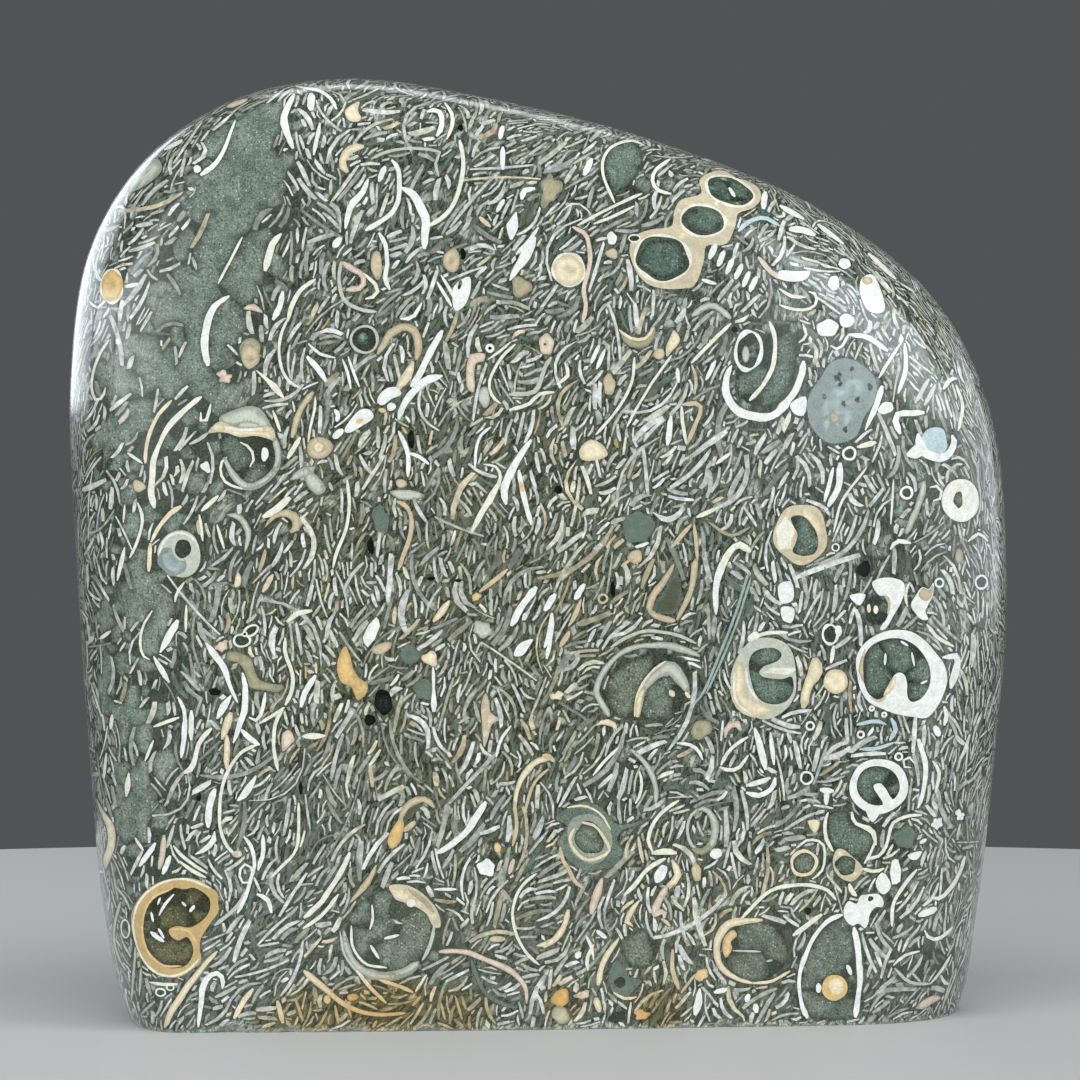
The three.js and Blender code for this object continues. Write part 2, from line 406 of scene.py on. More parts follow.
# Upper left: a few long walls over bare stone, an amber oval at the edge.
arcs("white", ((0.7, 1.0, 0.8), -35, 132.6, -36.2, 128.5, -34.9, 124.4),
    ((0.4, 0.5, 0.9), -43.2, 128.6, -43.8, 126.7, -44.5, 124.5, -45.9, 122.2, -47.9, 120.6),
    (0.4, -35, 134, -31.7, 133.1), (0.7, -53.6, 124.7, -50.9, 126), (1.1, -32.6, 132.7, -32.4, 129.9),
    ((0.6, 1.1, 0.9), -43.8, 103.6, -45.9, 102.1, -47, 99.3, -47.3, 96.8, -46.8, 93.7),
    (0.8, -36.3, 104.3, -36.7, 102.1, -37.7, 100.2), (0.35, -64, 103, -62.6, 102, -61.2, 103.3))
arcs("ivory", (0.35, -45.4, 105.3, -42, 111.9), ((0.9, 1.1, 0.6), -38.8, 107.1, -37.7, 111, -36.5, 112.4),
    (0.6, -31.7, 106, -33.8, 104.4, -35.1, 102.1, -35.6, 100),
    (0.4, -35.6, 100.4, -36.6, 97.9, -36.8, 95.4, -36.3, 93, -35, 91.2, -33.8, 90.7),
    (0.4, -60.8, 97.4, -62.2, 95.4, -63.2, 93, -63.4, 90.5, -62.7, 88.9, -61.7, 89.4, -61.3, 90.7),
    (0.4, -58.1, 81.5, -56, 80), (0.4, -37.7, 87.5, -36.6, 84.5), (0.7, -33.8, 83.7, -35.6, 80.7),
    ((0.3, 0.4, 1.1, 0.6), -40, 93.1, -38.4, 91.7, -36.8, 90, -36.2, 89.3))
disc("white", -48.4, 121.5, 0.55)
arcs("cream", (1.0, -44.8, 131, -41.8, 132))
arcs("pink", ((0.4, 1.0, 0.5), -41.8, 101.8, -40.4, 102, -39.2, 101.3))
patch("grey", -57, 122, -54.5, 123.4, -53.6, 121.6, -55.6, 119.6, -58.4, 118.6)
disc("ivory", -60.5, 105, 1.8, 2.5, wobble=0.05)
disc("amber", -60.5, 105, 1.6, 2.3, wobble=0.05)
disc("pink", -44.5, 92.2, 1.0, 0.8, wobble=0.25)
disc("olive", -40.9, 96.1, 1.45, 1.6)
disc("tan", -40.9, 95, 1.3, 1.6)

# Top, left of the middle.
patch("cream", -25.6, 131.3, -27.6, 129.9, -27.1, 128.5, -25.8, 128.3, -25.3, 128.8, -25.8, 129.9)
arcs("white", (0.5, -33.1, 133.5, -31.3, 133, -29.7, 131.7, -28.8, 130.1),
    (0.55, -31.1, 128.1, -32, 123.5),
    (0.65, -21, 122.9, -20.2, 121.9, -19.9, 119.5, -20.1, 117, -21.2, 115.2, -22.8, 114, -24.7, 112.9),
    ((0.7, 1.1, 1.3, 1.1, 0.8), -19.6, 119, -18.1, 118.1, -16.9, 116.3, -16.2, 114.2, -16.3, 111.7,
     -16.4, 110.3), (0.7, -16.1, 129.9, -14.6, 130.2, -13.9, 128.8, -14.1, 127.2, -14.7, 126.3),
    (0.7, -5.3, 124.9, -5.3, 121.6), (0.7, -5.3, 128, -5.7, 126), (0.8, -21.9, 122, -22.8, 119.8),
    ((0.6, 1.0, 0.5), -24.3, 120.2, -25.2, 118.1, -26.8, 116.3, -27.5, 113.1),
    (0.6, -22.8, 112.6, -21.9, 111, -21.6, 108.2, -21.9, 106.1, -21.2, 104.5),
    (0.5, -19.7, 100.4, -18.1, 100.6, -16.7, 102.7), (0.45, -14.6, 105.7, -13.5, 103.9, -12.5, 102.2),
    (0.45, -14, 106.6, -12.9, 104.8, -12, 103.2), (0.8, -2.6, 117.4, -2.3, 118.6, -0.7, 119),
    ((0.5, 1.5, 0.9), -3.4, 115.6, -3.9, 113.8, -4.1, 111.7),
    ((0.8, 1.6, 1.2, 0.4), -0.7, 112.1, -2, 109.6, -3.6, 107.1, -4.3, 105.9),
    (0.5, -0.2, 113.5, -1.6, 111.6, -3.4, 109.6), (0.6, -6.2, 115.6, -5.1, 117.4),
    (1.0, -28.1, 111.9, -29.2, 110.5))
arcs("ivory", (0.5, -13.6, 131.4, -12.5, 129.6, -12.5, 127.8, -13.2, 125.9),
    (0.6, -11.4, 125.8, -10.9, 123.2, -11.2, 119.9, -12.1, 117, -13.9, 114.7, -15.7, 113.6),
    (0.5, -24.9, 106.8, -23.1, 105, -23.1, 103.8, -24.7, 103.2))
arcs("cream", ((1.0, 1.2, 1.0), -24.9, 124.8, -26.5, 124.5, -27.6, 123.4, -28, 122.2, -27.2, 121.1))
arcs("grey", (0.4, -23.9, 123, -22.1, 123.9, -19.2, 124.5, -16.4, 124.5, -14.1, 124.1),
    (0.4, -14.1, 124.1, -14.8, 122.4, -14.3, 120.6),
    (0.5, -28.1, 108.5, -28.4, 105.7, -27.6, 103, -25.6, 101.8, -23.1, 101.4))
arcs("pink", (0.8, -27.9, 108.4, -26.3, 107.3, -25.1, 106.6, -25.1, 104.9, -27.4, 104.5),
    (0.6, -8.6, 114.9, -7, 113.5))
arcs("brown", (0.8, -0.9, 117, -1.9, 115.3, -2.5, 113.8))
disc("tan", -23.1, 108, 0.8, 2)
disc("tan", -12.5, 108.7, 1.15, 1.7)
disc("olive", 1.4, 118.8, 1.3, 2.2, wobble=0.2)
disc("olive", -2.7, 105, 1.4, wobble=0.2)
patch("white", -12.2, 105, -10, 106.4, -9.9, 104.3, -10.8, 102.2, -12, 101.6)
arcs("mud", (0.5, -11.2, 105.9, -11.5, 104.6))

# Near the top on the right: a yellow row of three chambers, cut lengthways, and a pale disc.
patch("cream", 12.7, 110.6, 13.6, 112.4, 15.9, 113.3, 18.7, 113.8, 19.1, 115.9, 20, 117.5, 23, 118.6,
    22.8, 120.5, 24.4, 121.8, 26.5, 122.3, 28.3, 121.2, 29.7, 120.9, 31.5, 119.8, 31.7, 118, 30.4, 116.6,
    28.3, 115.7, 27.9, 114.1, 26.5, 111.3, 23.7, 111, 23.3, 108.8, 21.9, 105.3, 20.2, 104.9, 17.3, 104.9,
    15.2, 105.6, 13.6, 107.4)
for x, z, rx, rz, tilt in ((17.4, 109.2, 3.3, 2.65, 0), (23.2, 114.6, 2.5, 1.65, -8),
        (27.2, 119.1, 2.9, 1.5, -15)):
    ring("ivory", "pale mud", x, z, rx + 0.9, rz + 0.8, 0.35, tilt)
    disc("deep mud", x, z, rx, rz, tilt)
arcs("ivory", (0.5, 27.1, 119.6, 27.9, 118.2))
disc("ivory", 4.05, 107.5, 2.45, wobble=0.03)
disc("cream", 4.05, 107.4, 2.2, wobble=0.03)
arcs("pink", (0.6, 4.6, 113.6, 6.5, 112.4, 7.1, 108.8, 6.2, 104.6, 6.5, 102.1, 6, 100),
    (0.7, 31.1, 109.5, 33.3, 107.1, 35.7, 106.3))
patch("dark mud", 10.6, 118.6, 9.4, 121.4, 9.6, 124, 11.2, 125.7, 13.4, 126, 14.6, 124.4, 13.9, 121.6,
    12.4, 119.4)
arcs("ivory", (0.4, 10.6, 117, 9, 120.9, 9, 123.4, 10.6, 125.5, 13.4, 126.4, 15, 125.7),
    (0.5, 18.7, 123.7, 16.3, 121.6, 16.1, 119.8, 17, 118.8, 18.7, 118.4),
    (0.4, 14.5, 118.4, 12, 117.3, 9.2, 115.9, 5.3, 113.8), (0.4, 13.4, 116.6, 10.6, 115.2, 7.6, 114))
arcs("white", (0.9, 7.4, 123.4, 6.2, 120.9), (0.5, 23, 106.2, 25.1, 105.6), (0.9, 32.5, 119.3, 32, 116.5),
    *((0.8, x - 0.5, z - 1.1, x + 0.5, z + 1.1) for x, z in ((24.6, 110.2), (25.8, 109.2), (27, 108.1),
     (28.3, 107.4), (29.4, 106.3), (30.4, 105.6))))
disc("white", 10.2, 112, 0.7, 0.9)
disc("tan", 10.2, 109.8, 0.9, 0.7, wobble=0.2)
ring("ivory", "mud", 13.4, 112, 0.9, 0.6, 0.2)
arcs("grey", (0.9, 21.6, 101, 24.4, 102.6, 27.2, 100.7))
arcs("blue", (0.6, 28.3, 113.1, 29.7, 114.5, 32.2, 115.2, 34.3, 114.1))

# Right shoulder: round sections, a sandy blob, a cup, a thick ring by the edge, a tan disc.
patch("white", 46.4, 106.8, 47.9, 107.3, 49.1, 105, 49.5, 102.1, 48.4, 101.6, 47, 102.1, 46.1, 103.9,
    45.9, 105.4)
disc("tan", 47.1, 106.4, 0.8, 0.6)
patch("white", 34.1, 107.5, 36.3, 107.5, 38.6, 107.4, 38, 106.4, 35.9, 106, 34.1, 106.5)
for x, z, rx, rz in ((41.1, 99.4, 1.55, 1.25), (43.9, 100.5, 1.1, 1), (42.1, 105.9, 0.8, 1.1),
        (43.8, 108.8, 0.9, 0.8)):
    disc("white", x, z, rx, rz)
arcs("white", (1.0, 35.7, 113.6, 37.9, 113.6, 39.6, 112.9), (0.4, 44.2, 98.6, 42.7, 96.4, 41.5, 96.9),
    (0.7, 44.2, 98.5, 47, 98.1, 49.9, 96.2), ((0.9, 0.8, 0.4), 49, 91.2, 48.1, 88.4, 46.5, 84.8),
    (0.6, 52.4, 97.4, 52.5, 93.7, 51.3, 90.1), (0.8, 34.5, 117.2, 38, 115.3),
    (0.7, 40, 114.6, 43.8, 111.8), (0.9, 51.6, 84.3, 50.9, 86.2, 51.4, 87.2, 53, 87.3, 55.2, 87.4),
    (0.6, 58.1, 90.8, 59.4, 92.3, 60.4, 92.4), (0.9, 42.9, 80.2, 42.6, 76.7, 41.1, 73.9),
    (0.6, 41.9, 79.5, 40.6, 74.6), (0.6, 50.1, 67.8, 51, 68.9, 53.1, 68.7))
arcs("ivory", (0.45, 34.1, 105, 35.9, 103.9, 38, 103.8), (0.7, 47.5, 110.5, 51.5, 106.8),
    (0.4, 34.1, 102.7, 36.3, 102, 38.4, 102.1, 39.5, 103, 39.3, 104.3, 38.4, 104.6),
    (0.4, 37.5, 100, 38, 98.2, 36.9, 97.3), (0.45, 48.5, 92.3, 50, 94.7, 51.7, 97.2),
    (0.7, 45.3, 82.4, 48.1, 83.1), (0.5, 60.1, 91.5, 61.1, 88.7, 60.3, 84.8),
    (0.35, 46.7, 79.5, 43.1, 74.6, 41.9, 70.3), (0.3, 50.6, 77.8, 50.2, 71.4),
    (0.45, 61.7, 68.9, 63.5, 70, 64.9, 68.9))
arcs("grey", (0.6, 53.8, 88.7, 56, 92.3), (0.6, 55.2, 88.4, 57, 91.5),
    (0.9, 55.1, 77.6, 54.5, 74.9, 52.4, 70))
patch("sandy", 40.1, 92.3, 41.5, 94.4, 43.8, 95.1, 46.3, 94, 48.1, 91.9, 47.9, 89.1, 46.3, 86.6,
    45.3, 84.1, 43.5, 83.1, 41, 83.1, 38.8, 85.2, 38.1, 88.4, 38.8, 90.5)
for x, z, size in ((42.6, 92.4, 0.5), (42.9, 91.4, 0.3), (47.2, 91, 0.4), (44.6, 93.6, 0.3),
        (43.4, 88.6, 0.3), (40.6, 89.6, 0.3), (45.4, 89.2, 0.35), (43.6, 84.9, 0.35)):
    disc("mud", x, z, size, size * 1.3, wobble=0.25)
disc("olive", 42, 86.6, 0.7, wobble=0.2)
disc("white", 49.5, 88, 1.2, 0.8, tilt=30)
disc("blue", 56.7, 83.3, 2, core=False)
arcs("white", ((0.8, 1.3, 1.2, 1, 0.8), 54.2, 84.4, 54.6, 82.4, 56, 81.2, 57.6, 80.9, 59.2, 81.9,
     59.7, 83.3, 59.3, 84.2))
patch("white", 52.5, 81.3, 53.6, 82.6, 54.9, 83.4, 55.4, 82, 54, 80.8)
ring("white", "mud", 44.2, 81.5, 1.05, 1.05, 0.35)
ring("white", "mud", 52.5, 75.9, 1.0, 1.0, 0.35)
ring("white", "mud", 42.2, 68.1, 0.6, 0.6, 0.2)
hoop("white", 0.4, 56.6, 75.8, 1.1, 1.1, -100, 130)
disc("ivory", 60.6, 74.8, 2.9, 3.1, wobble=0.05, core=False)
hoop("white", (0.6, 1, 0.6), 60.6, 74.8, 2.2, 2.4, 150, 390)
disc("deep mud", 60.2, 74.9, 0.7, 1.2, wobble=0.15)
disc("cream", 37.2, 70, 3.85, 4.3, wobble=0.04)
disc("ivory", 34.9, 70, 1.2, 2.3, wobble=0.15)
hoop("tan", (0.2, 0.6, 0.3), 37.2, 70, 3.3, 3.7, -120, 60)
patch("dark mud", 35.8, 72.4, 37.4, 72.6, 39.2, 70.7, 39.7, 68.9, 39.2, 67.3, 37.4, 66.9, 36, 67.5,
    36.5, 68.9, 36.7, 70, 36, 71.4)
disc("olive", 60.3, 66.8, 0.6, 1.1)

# Upper left, lower down: long paired arcs, the snail with a grey cap, a clouded ring.
arcs("ivory", ((0.7, 0.8, 0.6, 0.9, 0.8), -47.7, 89.4, -50.1, 87.5, -52.3, 85.2, -53.5, 83, -54.4, 80.6,
     -54.6, 78.1, -54.8, 76, -54.3, 73.7),
    (0.45, -47.8, 87.2, -47.8, 86, -47.3, 85.7, -46.7, 87, -46.4, 88.4), (0.4, -45.5, 71.4, -44.5, 68),
    (0.4, -56.7, 74.5, -56, 72.4, -56.5, 69.6, -57.8, 66.7), (0.3, -58.5, 74.2, -58.7, 71.7),
    ((0.5, 0.6, 0.4), -58.5, 68.2, -59.3, 64.7, -59.6, 63.5), (0.45, -48, 72.8, -47.5, 69.1),
    (0.6, -47.7, 73.3, -45.3, 75.5), (1.0, -39.1, 72.4, -37.3, 73.5, -35.2, 75.2))
arcs("cream", (0.5, -51.9, 88.9, -53.7, 86.9, -54.9, 84.5, -55.5, 82, -55.6, 80),
    ((0.7, 0.6, 0.4), -50.5, 74, -51.9, 73.1, -53.7, 71, -54.8, 68.9), (0.6, -54.9, 68.8, -55.1, 64.8))
arcs("grey", (0.5, -46.8, 84.3, -48, 83.4, -49.4, 82.7),
    ((0.5, 0.9, 0.8, 0.4), -44.1, 72.8, -42.3, 72.4, -41.1, 70.3, -41.6, 67.5),
    ((0.5, 1.4, 0.6), -35.2, 77.7, -33.2, 78.8, -31.7, 79.5))
arcs("tan", (0.8, -32, 90.1, -33.8, 87.6, -35, 83.6), (0.5, -48.2, 72, -48, 70))
disc("dark mud", -41, 81.2, 4.2, 4.6)
patch("grey", -45.2, 86.4, -43, 87.6, -40.9, 88.1, -39.5, 87.7, -38.4, 86.3, -37.8, 84.8, -39.1, 84.4,
    -43, 84.8, -44.8, 85.4)
patch("cream", -46.8, 84.3, -45.2, 85.9, -43.7, 85.4, -42.3, 84.9, -40.6, 84.9, -39.1, 85.2, -37.7, 85,
    -37.4, 83.2, -38.4, 83.5, -40.2, 83.9, -42.3, 83.7, -44.1, 84.3, -45.5, 84.4)
arcs("ivory", (0.4, -44.6, 85.2, -42.3, 84.7, -39.1, 84.9),
    (0.35, -44.1, 80.9, -45, 79.9, -44.6, 77.7, -43, 76.7, -41.6, 76.4),
    (0.35, -42.3, 83, -40.7, 82, -40.4, 80.2, -40.9, 79.5))
arcs("grey", ((1.0, 0.9, 0.9, 1.1, 0.9, 0.6), -37.4, 83.6, -36.9, 80.9, -37.5, 78.8, -39.1, 77.4,
     -41.3, 76.7, -43, 78.1, -44.1, 79.9, -44.5, 80.9))
eddy(-41, 81, 5)
disc("white", -38.8, 81.3, 0.5, 1)
disc("white", -47.1, 79.5, 0.7, wobble=0.25)
disc("tan", -56.5, 76.8, 0.9, 0.8, wobble=0.2)
disc("grey", -50.75, 67.3, 3.05, 3.25, wobble=0.04, core=False)
hoop("ivory", 0.3, -50.75, 67.3, 2.75, 2.95, 20, 250)
disc("sandy", -51.8, 66.2, 1.9, 2.1, tilt=30)
ring("grey", "deep mud", -50.3, 68, 1.5, 1.7, 0.35)
arcs("tan",
    ((0.3, 0.6, 1.0, 1.4, 0.9), -38.8, 71, -37.7, 72.4, -35.9, 73, -34.5, 72.4, -34.3, 71, -35.2, 70.3))

# Middle left: a tan arch that ends in white wedges, a round olive section, an orange bracket.
ring("grey", "dark mud", -24.8, 97.5, 2.05, 2.05, 0.35)
disc("pale mud", -25, 97.6, 0.8)
arcs("white", (0.9, -13.8, 98.8, -15.7, 95.4, -16.8, 93, -18.2, 90.8),
    ((0.6, 1.2, 0.9, 1.0, 0.6), -13.8, 92.4, -16.1, 91.7, -17.9, 90.1, -19.3, 88.2, -20, 86.2),
    (1.0, -27.8, 84.8, -29.2, 83.6), (0.6, -20, 84.6, -19.1, 82.7, -18.6, 80.9, -18.7, 78.1),
    (0.5, -18.6, 81.5, -17.3, 81.1, -15.7, 79.9), (0.7, -29, 87.6, -28.5, 86.8, -28.7, 85.9),
    (0.4, -27.9, 94.7, -27.1, 92.6, -26.7, 90.5), (0.4, -27.1, 95.1, -26.4, 93, -25.5, 90.8),
    (0.4, -32.7, 96.9, -31, 95.4, -28.9, 94.9), (0.8, -32.9, 95.1, -31.3, 93.3, -30.2, 91.5),
    ((0.6, 0.9, 1.0, 1.2, 0.7), -1.2, 83.4, -3, 80.9, -4.1, 78.8, -5.1, 76.3, -4.8, 74.2),
    (0.7, -3, 79.1, -2.6, 76.7, -1.9, 73.8, -1.2, 71.4),
    (0.4, -6.9, 85.2, -8.3, 84.1, -9, 82.3, -9.2, 79.5))
arcs("cream", ((0.8, 1.3, 1.1), -17.9, 94.4, -18.9, 92.2, -20.2, 90.5))
arcs("tan", ((0.6, 0.9, 1.1, 1.0, 1.1, 1.1, 0.8), -23, 95.4, -22.1, 96.8, -21, 98.4, -19.3, 99.3,
     -17.7, 98.6, -17.2, 96.8, -17.5, 94.6),
    (0.6, -20.2, 74.7, -18.9, 74, -18.2, 72.4, -18.3, 69.9, -19.3, 67.1, -20, 65))
patch("white", -20.2, 90.7, -19.6, 89.8, -21, 89.1, -22.3, 88.2, -23, 88.7, -22.5, 89.9, -21.4, 90.7)
patch("white", -24.1, 87.6, -23.5, 86.6, -25.3, 85.2, -27.1, 84.3, -27.6, 84.6, -26.4, 86.6, -25.3, 87.6)
arcs("orange", (0.6, -22.8, 87.6, -21.8, 87.4), (0.6, -26, 85.7, -25, 86.2))
disc("white", -21, 88, 0.6)
disc("tan", -19.6, 77.2, 0.8, 0.6)
patch("grey", -21.2, 76, -19.3, 76.3, -17.2, 76, -16.3, 75.4, -17.5, 75, -19.3, 74.9, -20.3, 75.2)
arcs("ivory", (0.35, -32.7, 83, -32.4, 85.2, -31.8, 87.6, -31.7, 89.4),
    (0.4, -3.5, 96.9, -5.1, 95.4, -6.5, 93.3, -7.2, 91.2, -6.7, 89.4, -5.6, 88.5),
    (0.35, -4.2, 97.2, -5.8, 95.8, -7.4, 94.7), (0.5, 2, 90.1, -0.2, 89.8, -1.6, 88.4, -4.4, 87.6),
    ((0.3, 0.4, 0.9, 0.8, 0.5), -8, 79.9, -6.2, 79.5, -5.6, 78.1, -6.5, 76, -8, 73.5, -9.7, 70.3),
    (0.45, -27.2, 77.7, -26.9, 74.2, -27.4, 70.7, -28.8, 67.1, -29.2, 65.3))
arcs("grey", (0.6, 1.6, 95.1, 0.7, 93.7, 0, 91.5, -0.9, 90.1, -4.4, 89.8))
eddy(-2.9, 92.8, 4.3)
disc("tan", -31.1, 82.2, 1.8, 1.55)
disc("cream", -31.2, 82.3, 0.7)
ring("white", "black", -7.1, 96.3, 0.65, 0.65, 0.4)
patch("pink", -9.9, 95.4, -7.8, 95.5, -8, 94.5, -9, 94.2, -9.3, 93, -9.4, 90.1, -10.2, 90.5, -10.4, 93.7,
    -10.1, 94.9)
disc("pink", 0.9, 96.9, 1.05, 1.5)
disc("black", 0.7, 96.9, 0.15)
disc("grey", -7.9, 89.4, 0.8, 1.5)
patch("grey", -33.4, 79.5, -31.3, 78.1, -30.2, 76.3, -31.3, 75.6, -32.7, 76.7)
disc("green", -22.5, 72.1, 1.2, 1.8, wobble=0.2)
arcs("orange", (0.6, -2.8, 77.4, -2.4, 76))

# Middle right: an egg-shaped ring inside a wide white U, a narrow V.
patch("dark mud", 28.2, 94, 28, 91, 29.4, 88.8, 32.4, 88.2, 34.8, 90, 36.4, 94, 36, 98.4, 33.4, 99.6,
    31.6, 97)
arcs("white", ((0.5, 1.0, 1.2, 1.2, 1.1, 0.9), 27.3, 94, 26.5, 92.2, 26.6, 89.8, 28.2, 87.5, 30.7, 86.7,
     33.2, 86.9, 35.7, 89), (0.9, 37.6, 94.7, 37.2, 92.2, 36, 89.8, 33.8, 87.7),
    (0.6, 25, 94.7, 23.6, 91.9), (0.8, 18.6, 86.8, 18.1, 82.6), (0.5, 19.5, 93.6, 19.7, 91.5),
    (0.6, 9.2, 96.2, 8, 93.4), (0.6, 8.4, 96.8, 7.2, 94.2),
    ((0.9, 1.1, 0.8, 0.5), 26.4, 66.5, 25.4, 64.4, 25, 62.3, 25, 58.6))
patch("white", 35.7, 88.5, 37.9, 89.6, 37.6, 86.9, 36.2, 87.2)
eddy(32.5, 92.5, 5.5)
arcs("ivory", (0.6, 32.7, 100.3, 33.5, 97.9, 33.2, 94, 31.8, 91.2, 29.8, 89),
    (0.5, 20.1, 88.2, 20.3, 85.5, 20.8, 82.8), (0.4, 13.4, 95.1, 13, 91.5, 10.9, 87.6, 7.9, 84.1),
    (0.35, 18.7, 95.4, 16.2, 91.9, 13.4, 87.3, 12.3, 85.2), (0.5, 27.2, 100, 24.3, 97.2, 21.5, 94.3),
    (0.5, 27.2, 81.6, 25, 80), (0.5, 3.5, 94.3, 4, 92.6, 2.4, 91.2), (0.6, 22.2, 72.4, 25.4, 73.8),
    (0.9, 30, 67.5, 28.2, 68.5, 26.5, 66.8, 25.8, 65))
ring("white", "dark mud", 29.7, 96.1, 2.1, 3.0, 0.5, tilt=-8)
disc("grey", 29.3, 95.6, 0.5, 1.2)
arcs("tan", (0.6, 20.2, 88.4, 22.5, 88.5, 22.9, 87.8, 22.1, 85.6, 20.9, 82.8),
    (0.6, 21.5, 71.4, 18.7, 68.2), (0.5, 21.9, 71.4, 22.4, 66.4))
arcs("olive", (1.1, 11.6, 98.6, 13, 97.1, 14.8, 97, 16.2, 98.9), (0.4, 24, 71.7, 27.2, 69.8, 29.9, 71))
arcs("cream", (0.4, 11.2, 99, 12.9, 97.8, 15, 97.8, 16.2, 99.4))
disc("tan", 9.8, 91.2, 0.85, 1.5)
disc("tan", 16.9, 95.6, 0.8)
patch("cream", 19, 99, 19.9, 97.6, 18.6, 95.8, 18, 95.2, 17.9, 96.5, 18.6, 98.2)
patch("cream", 5.6, 82, 7.2, 83.4, 8.8, 82.7, 9.6, 81.3, 8.4, 80.6, 5.9, 80.6)
disc("green", 13.9, 71, 2.2)
disc("tan", 13.5, 66.8, 1.0)
arcs("tan", (0.4, 12.8, 66.4, 11.5, 65.5))

# Lower left: crossed splinters, a bent olive wall, orange pieces, a thin sickle.
arcs("white", ((1.0, 1.1, 0.5), -51, 58, -51.9, 56.3, -53.5, 53.4),
    ((0.4, 0.8, 0.5), -54.4, 52.9, -53.5, 51.3, -52.2, 49.2),
    ((0.4, 0.7, 0.6), -51, 47.2, -50.1, 45.3, -50.1, 41.8, -50.5, 38.6), (0.7, -49.1, 45.3, -49.1, 41.1),
    ((0.5, 1.0, 0.8, 0.5, 0.4), -47.1, 54.8, -45.8, 53.1, -44.4, 51, -43.7, 48.8, -42.6, 46.4),
    ((0.5, 0.8, 0.9, 0.8, 0.4), -41.9, 50.6, -41.5, 48.1, -41.6, 45.7, -42.3, 43.2, -43.2, 40.7),
    (0.5, -60.6, 56.4, -62.4, 55.2), ((0.5, 1.1, 0.6), -43.5, 47.4, -44.4, 46, -45.5, 44.1),
    (0.8, -31.6, 50.2, -33, 48.1, -33.7, 45.7), (0.7, -42.1, 42.6, -40.9, 41.4, -39.5, 40.4),
    (0.5, -38.7, 47.8, -39.1, 45.3, -39.8, 43.9, -41, 44.3), (0.9, -45.7, 34.3, -46.5, 32.2, -46.7, 28.8),
    ((0.4, 0.9, 0.7, 0.3), -45.8, 28.3, -46, 27, -47.1, 25.8, -48.5, 25.1),
    (0.6, -60.4, 44.6, -60.7, 42.5), ((0.5, 1.0, 0.8), -40, 36.1, -41.2, 34, -42.6, 32.6),
    (0.5, -61.4, 39.1, -61.9, 35.4))
arcs("ivory", (0.35, -54.6, 59.3, -55.8, 57.3, -56.3, 54.8, -55.8, 52.9, -54.9, 52.4),
    (0.4, -49.8, 60.1, -49.9, 56.3), (0.4, -50.1, 63.3, -51.2, 61.6, -51.4, 60.5),
    (0.5, -50.8, 44.3, -54.4, 43), (0.4, -54.4, 41.1, -55.6, 38.2),
    ((0.7, 0.6, 0.9), -46.2, 42.8, -48, 40.7, -49, 37.2, -50.1, 36.5),
    (0.7, -35.7, 57.7, -34.1, 58.9, -32.1, 59.3), (0.5, -36.2, 45.7, -37.3, 43.2, -37.5, 40, -36.9, 36.8),
    (0.45, -36, 45.7, -37.6, 44.6, -39.6, 43.4), (0.45, -39.8, 40.5, -41.9, 39.5, -43.7, 37.2, -44.8, 34.3,
     -45.1, 31.2, -45, 28.6, -44.1, 26.3, -42.8, 24.9),
    ((0.5, 0.6), -35.9, 55.5, -35.9, 53.4, -34.8, 49.9, -35.2, 47.4, -35.9, 46),
    ((0.4, 0.9, 0.4), -57.9, 36.5, -58.3, 33.1))
patch("olive", -44.1, 53.4, -42.3, 53.4, -40.7, 52.4, -40.1, 50.6, -39.4, 49.5, -37.7, 49, -36.2, 48.7,
    -36.8, 47.9, -38.7, 48.1, -40.7, 48.5, -41.2, 49.5, -41.7, 51, -42.6, 52, -43.9, 52.4)
disc("pink", -44.8, 54.3, 0.8, wobble=0.2)
arcs("cream", ((1.1, 1.2, 0.6), -43.5, 45, -44.1, 43.2, -44.8, 41.2), (0.8, -44.1, 41.8, -44.1, 37))
ring("ivory", "mud", -40.7, 56.5, 1.2, 0.8, 0.3, tilt=30)
ring("ivory", "mud", -42, 55.1, 1.3, 1.0, 0.3)
ring("ivory", "black", -41.6, 56, 0.4, 0.4, 0.2)
patch("cream", -42.6, 64.7, -42.1, 64, -42.3, 62.8, -43, 62.6, -43, 63.5)
arcs("pink", (0.7, -37.6, 64.4, -39.1, 61.9))
patch("pink", -36.2, 42.1, -35.3, 42.5, -34.6, 41.1, -35.2, 40.4, -36.2, 39.5, -36.4, 40.7)
disc("pink", -42.6, 25.1, 0.7, 0.5)

# Lower middle: an orange wedge beside a deep dark pit, blobs of green and tan, a tan hook.
patch("amber", -27.5, 54.3, -26.8, 52.9, -26.4, 51.3, -25.6, 49.9, -24.3, 48.8, -24.7, 47.4, -25.7, 46.7,
    -26.6, 48.5, -28, 49.2, -28.6, 51, -28.4, 52.7)
arcs("orange", (0.4, -26, 49.8, -25.1, 47.8))
patch("white", -23.1, 58.4, -22.6, 57.1, -24.3, 54.1, -25, 55.5, steps=2)
patch("tan", -23.8, 53.8, -22.4, 54.7, -21, 54.8, -21.1, 54, -22.9, 53.1)
disc("green", -18.4, 53.1, 1.3, wobble=0.15)
disc("green", -16.4, 48.1, 1.4, wobble=0.15)
disc("cream", -15.5, 52.5, 1.1, 1.0, wobble=0.2)
arcs("white", ((0.5, 0.4, 1.0), -15.1, 51.3, -15, 47.4, -15, 45), (0.6, 1.8, 58.4, 1.4, 54.8, 0.9, 52.4),
    (1.0, -0.5, 62.6, -2.6, 59.8, -4.1, 57.1), (0.9, 2.2, 61.6, 0.6, 59.2),
    (0.4, -4.1, 43, -5.5, 41.1, -6.2, 38.6))
patch("white", -3.7, 52.9, -3, 54.5, -1, 55.2, -1.6, 54.1, -2.5, 52.9)
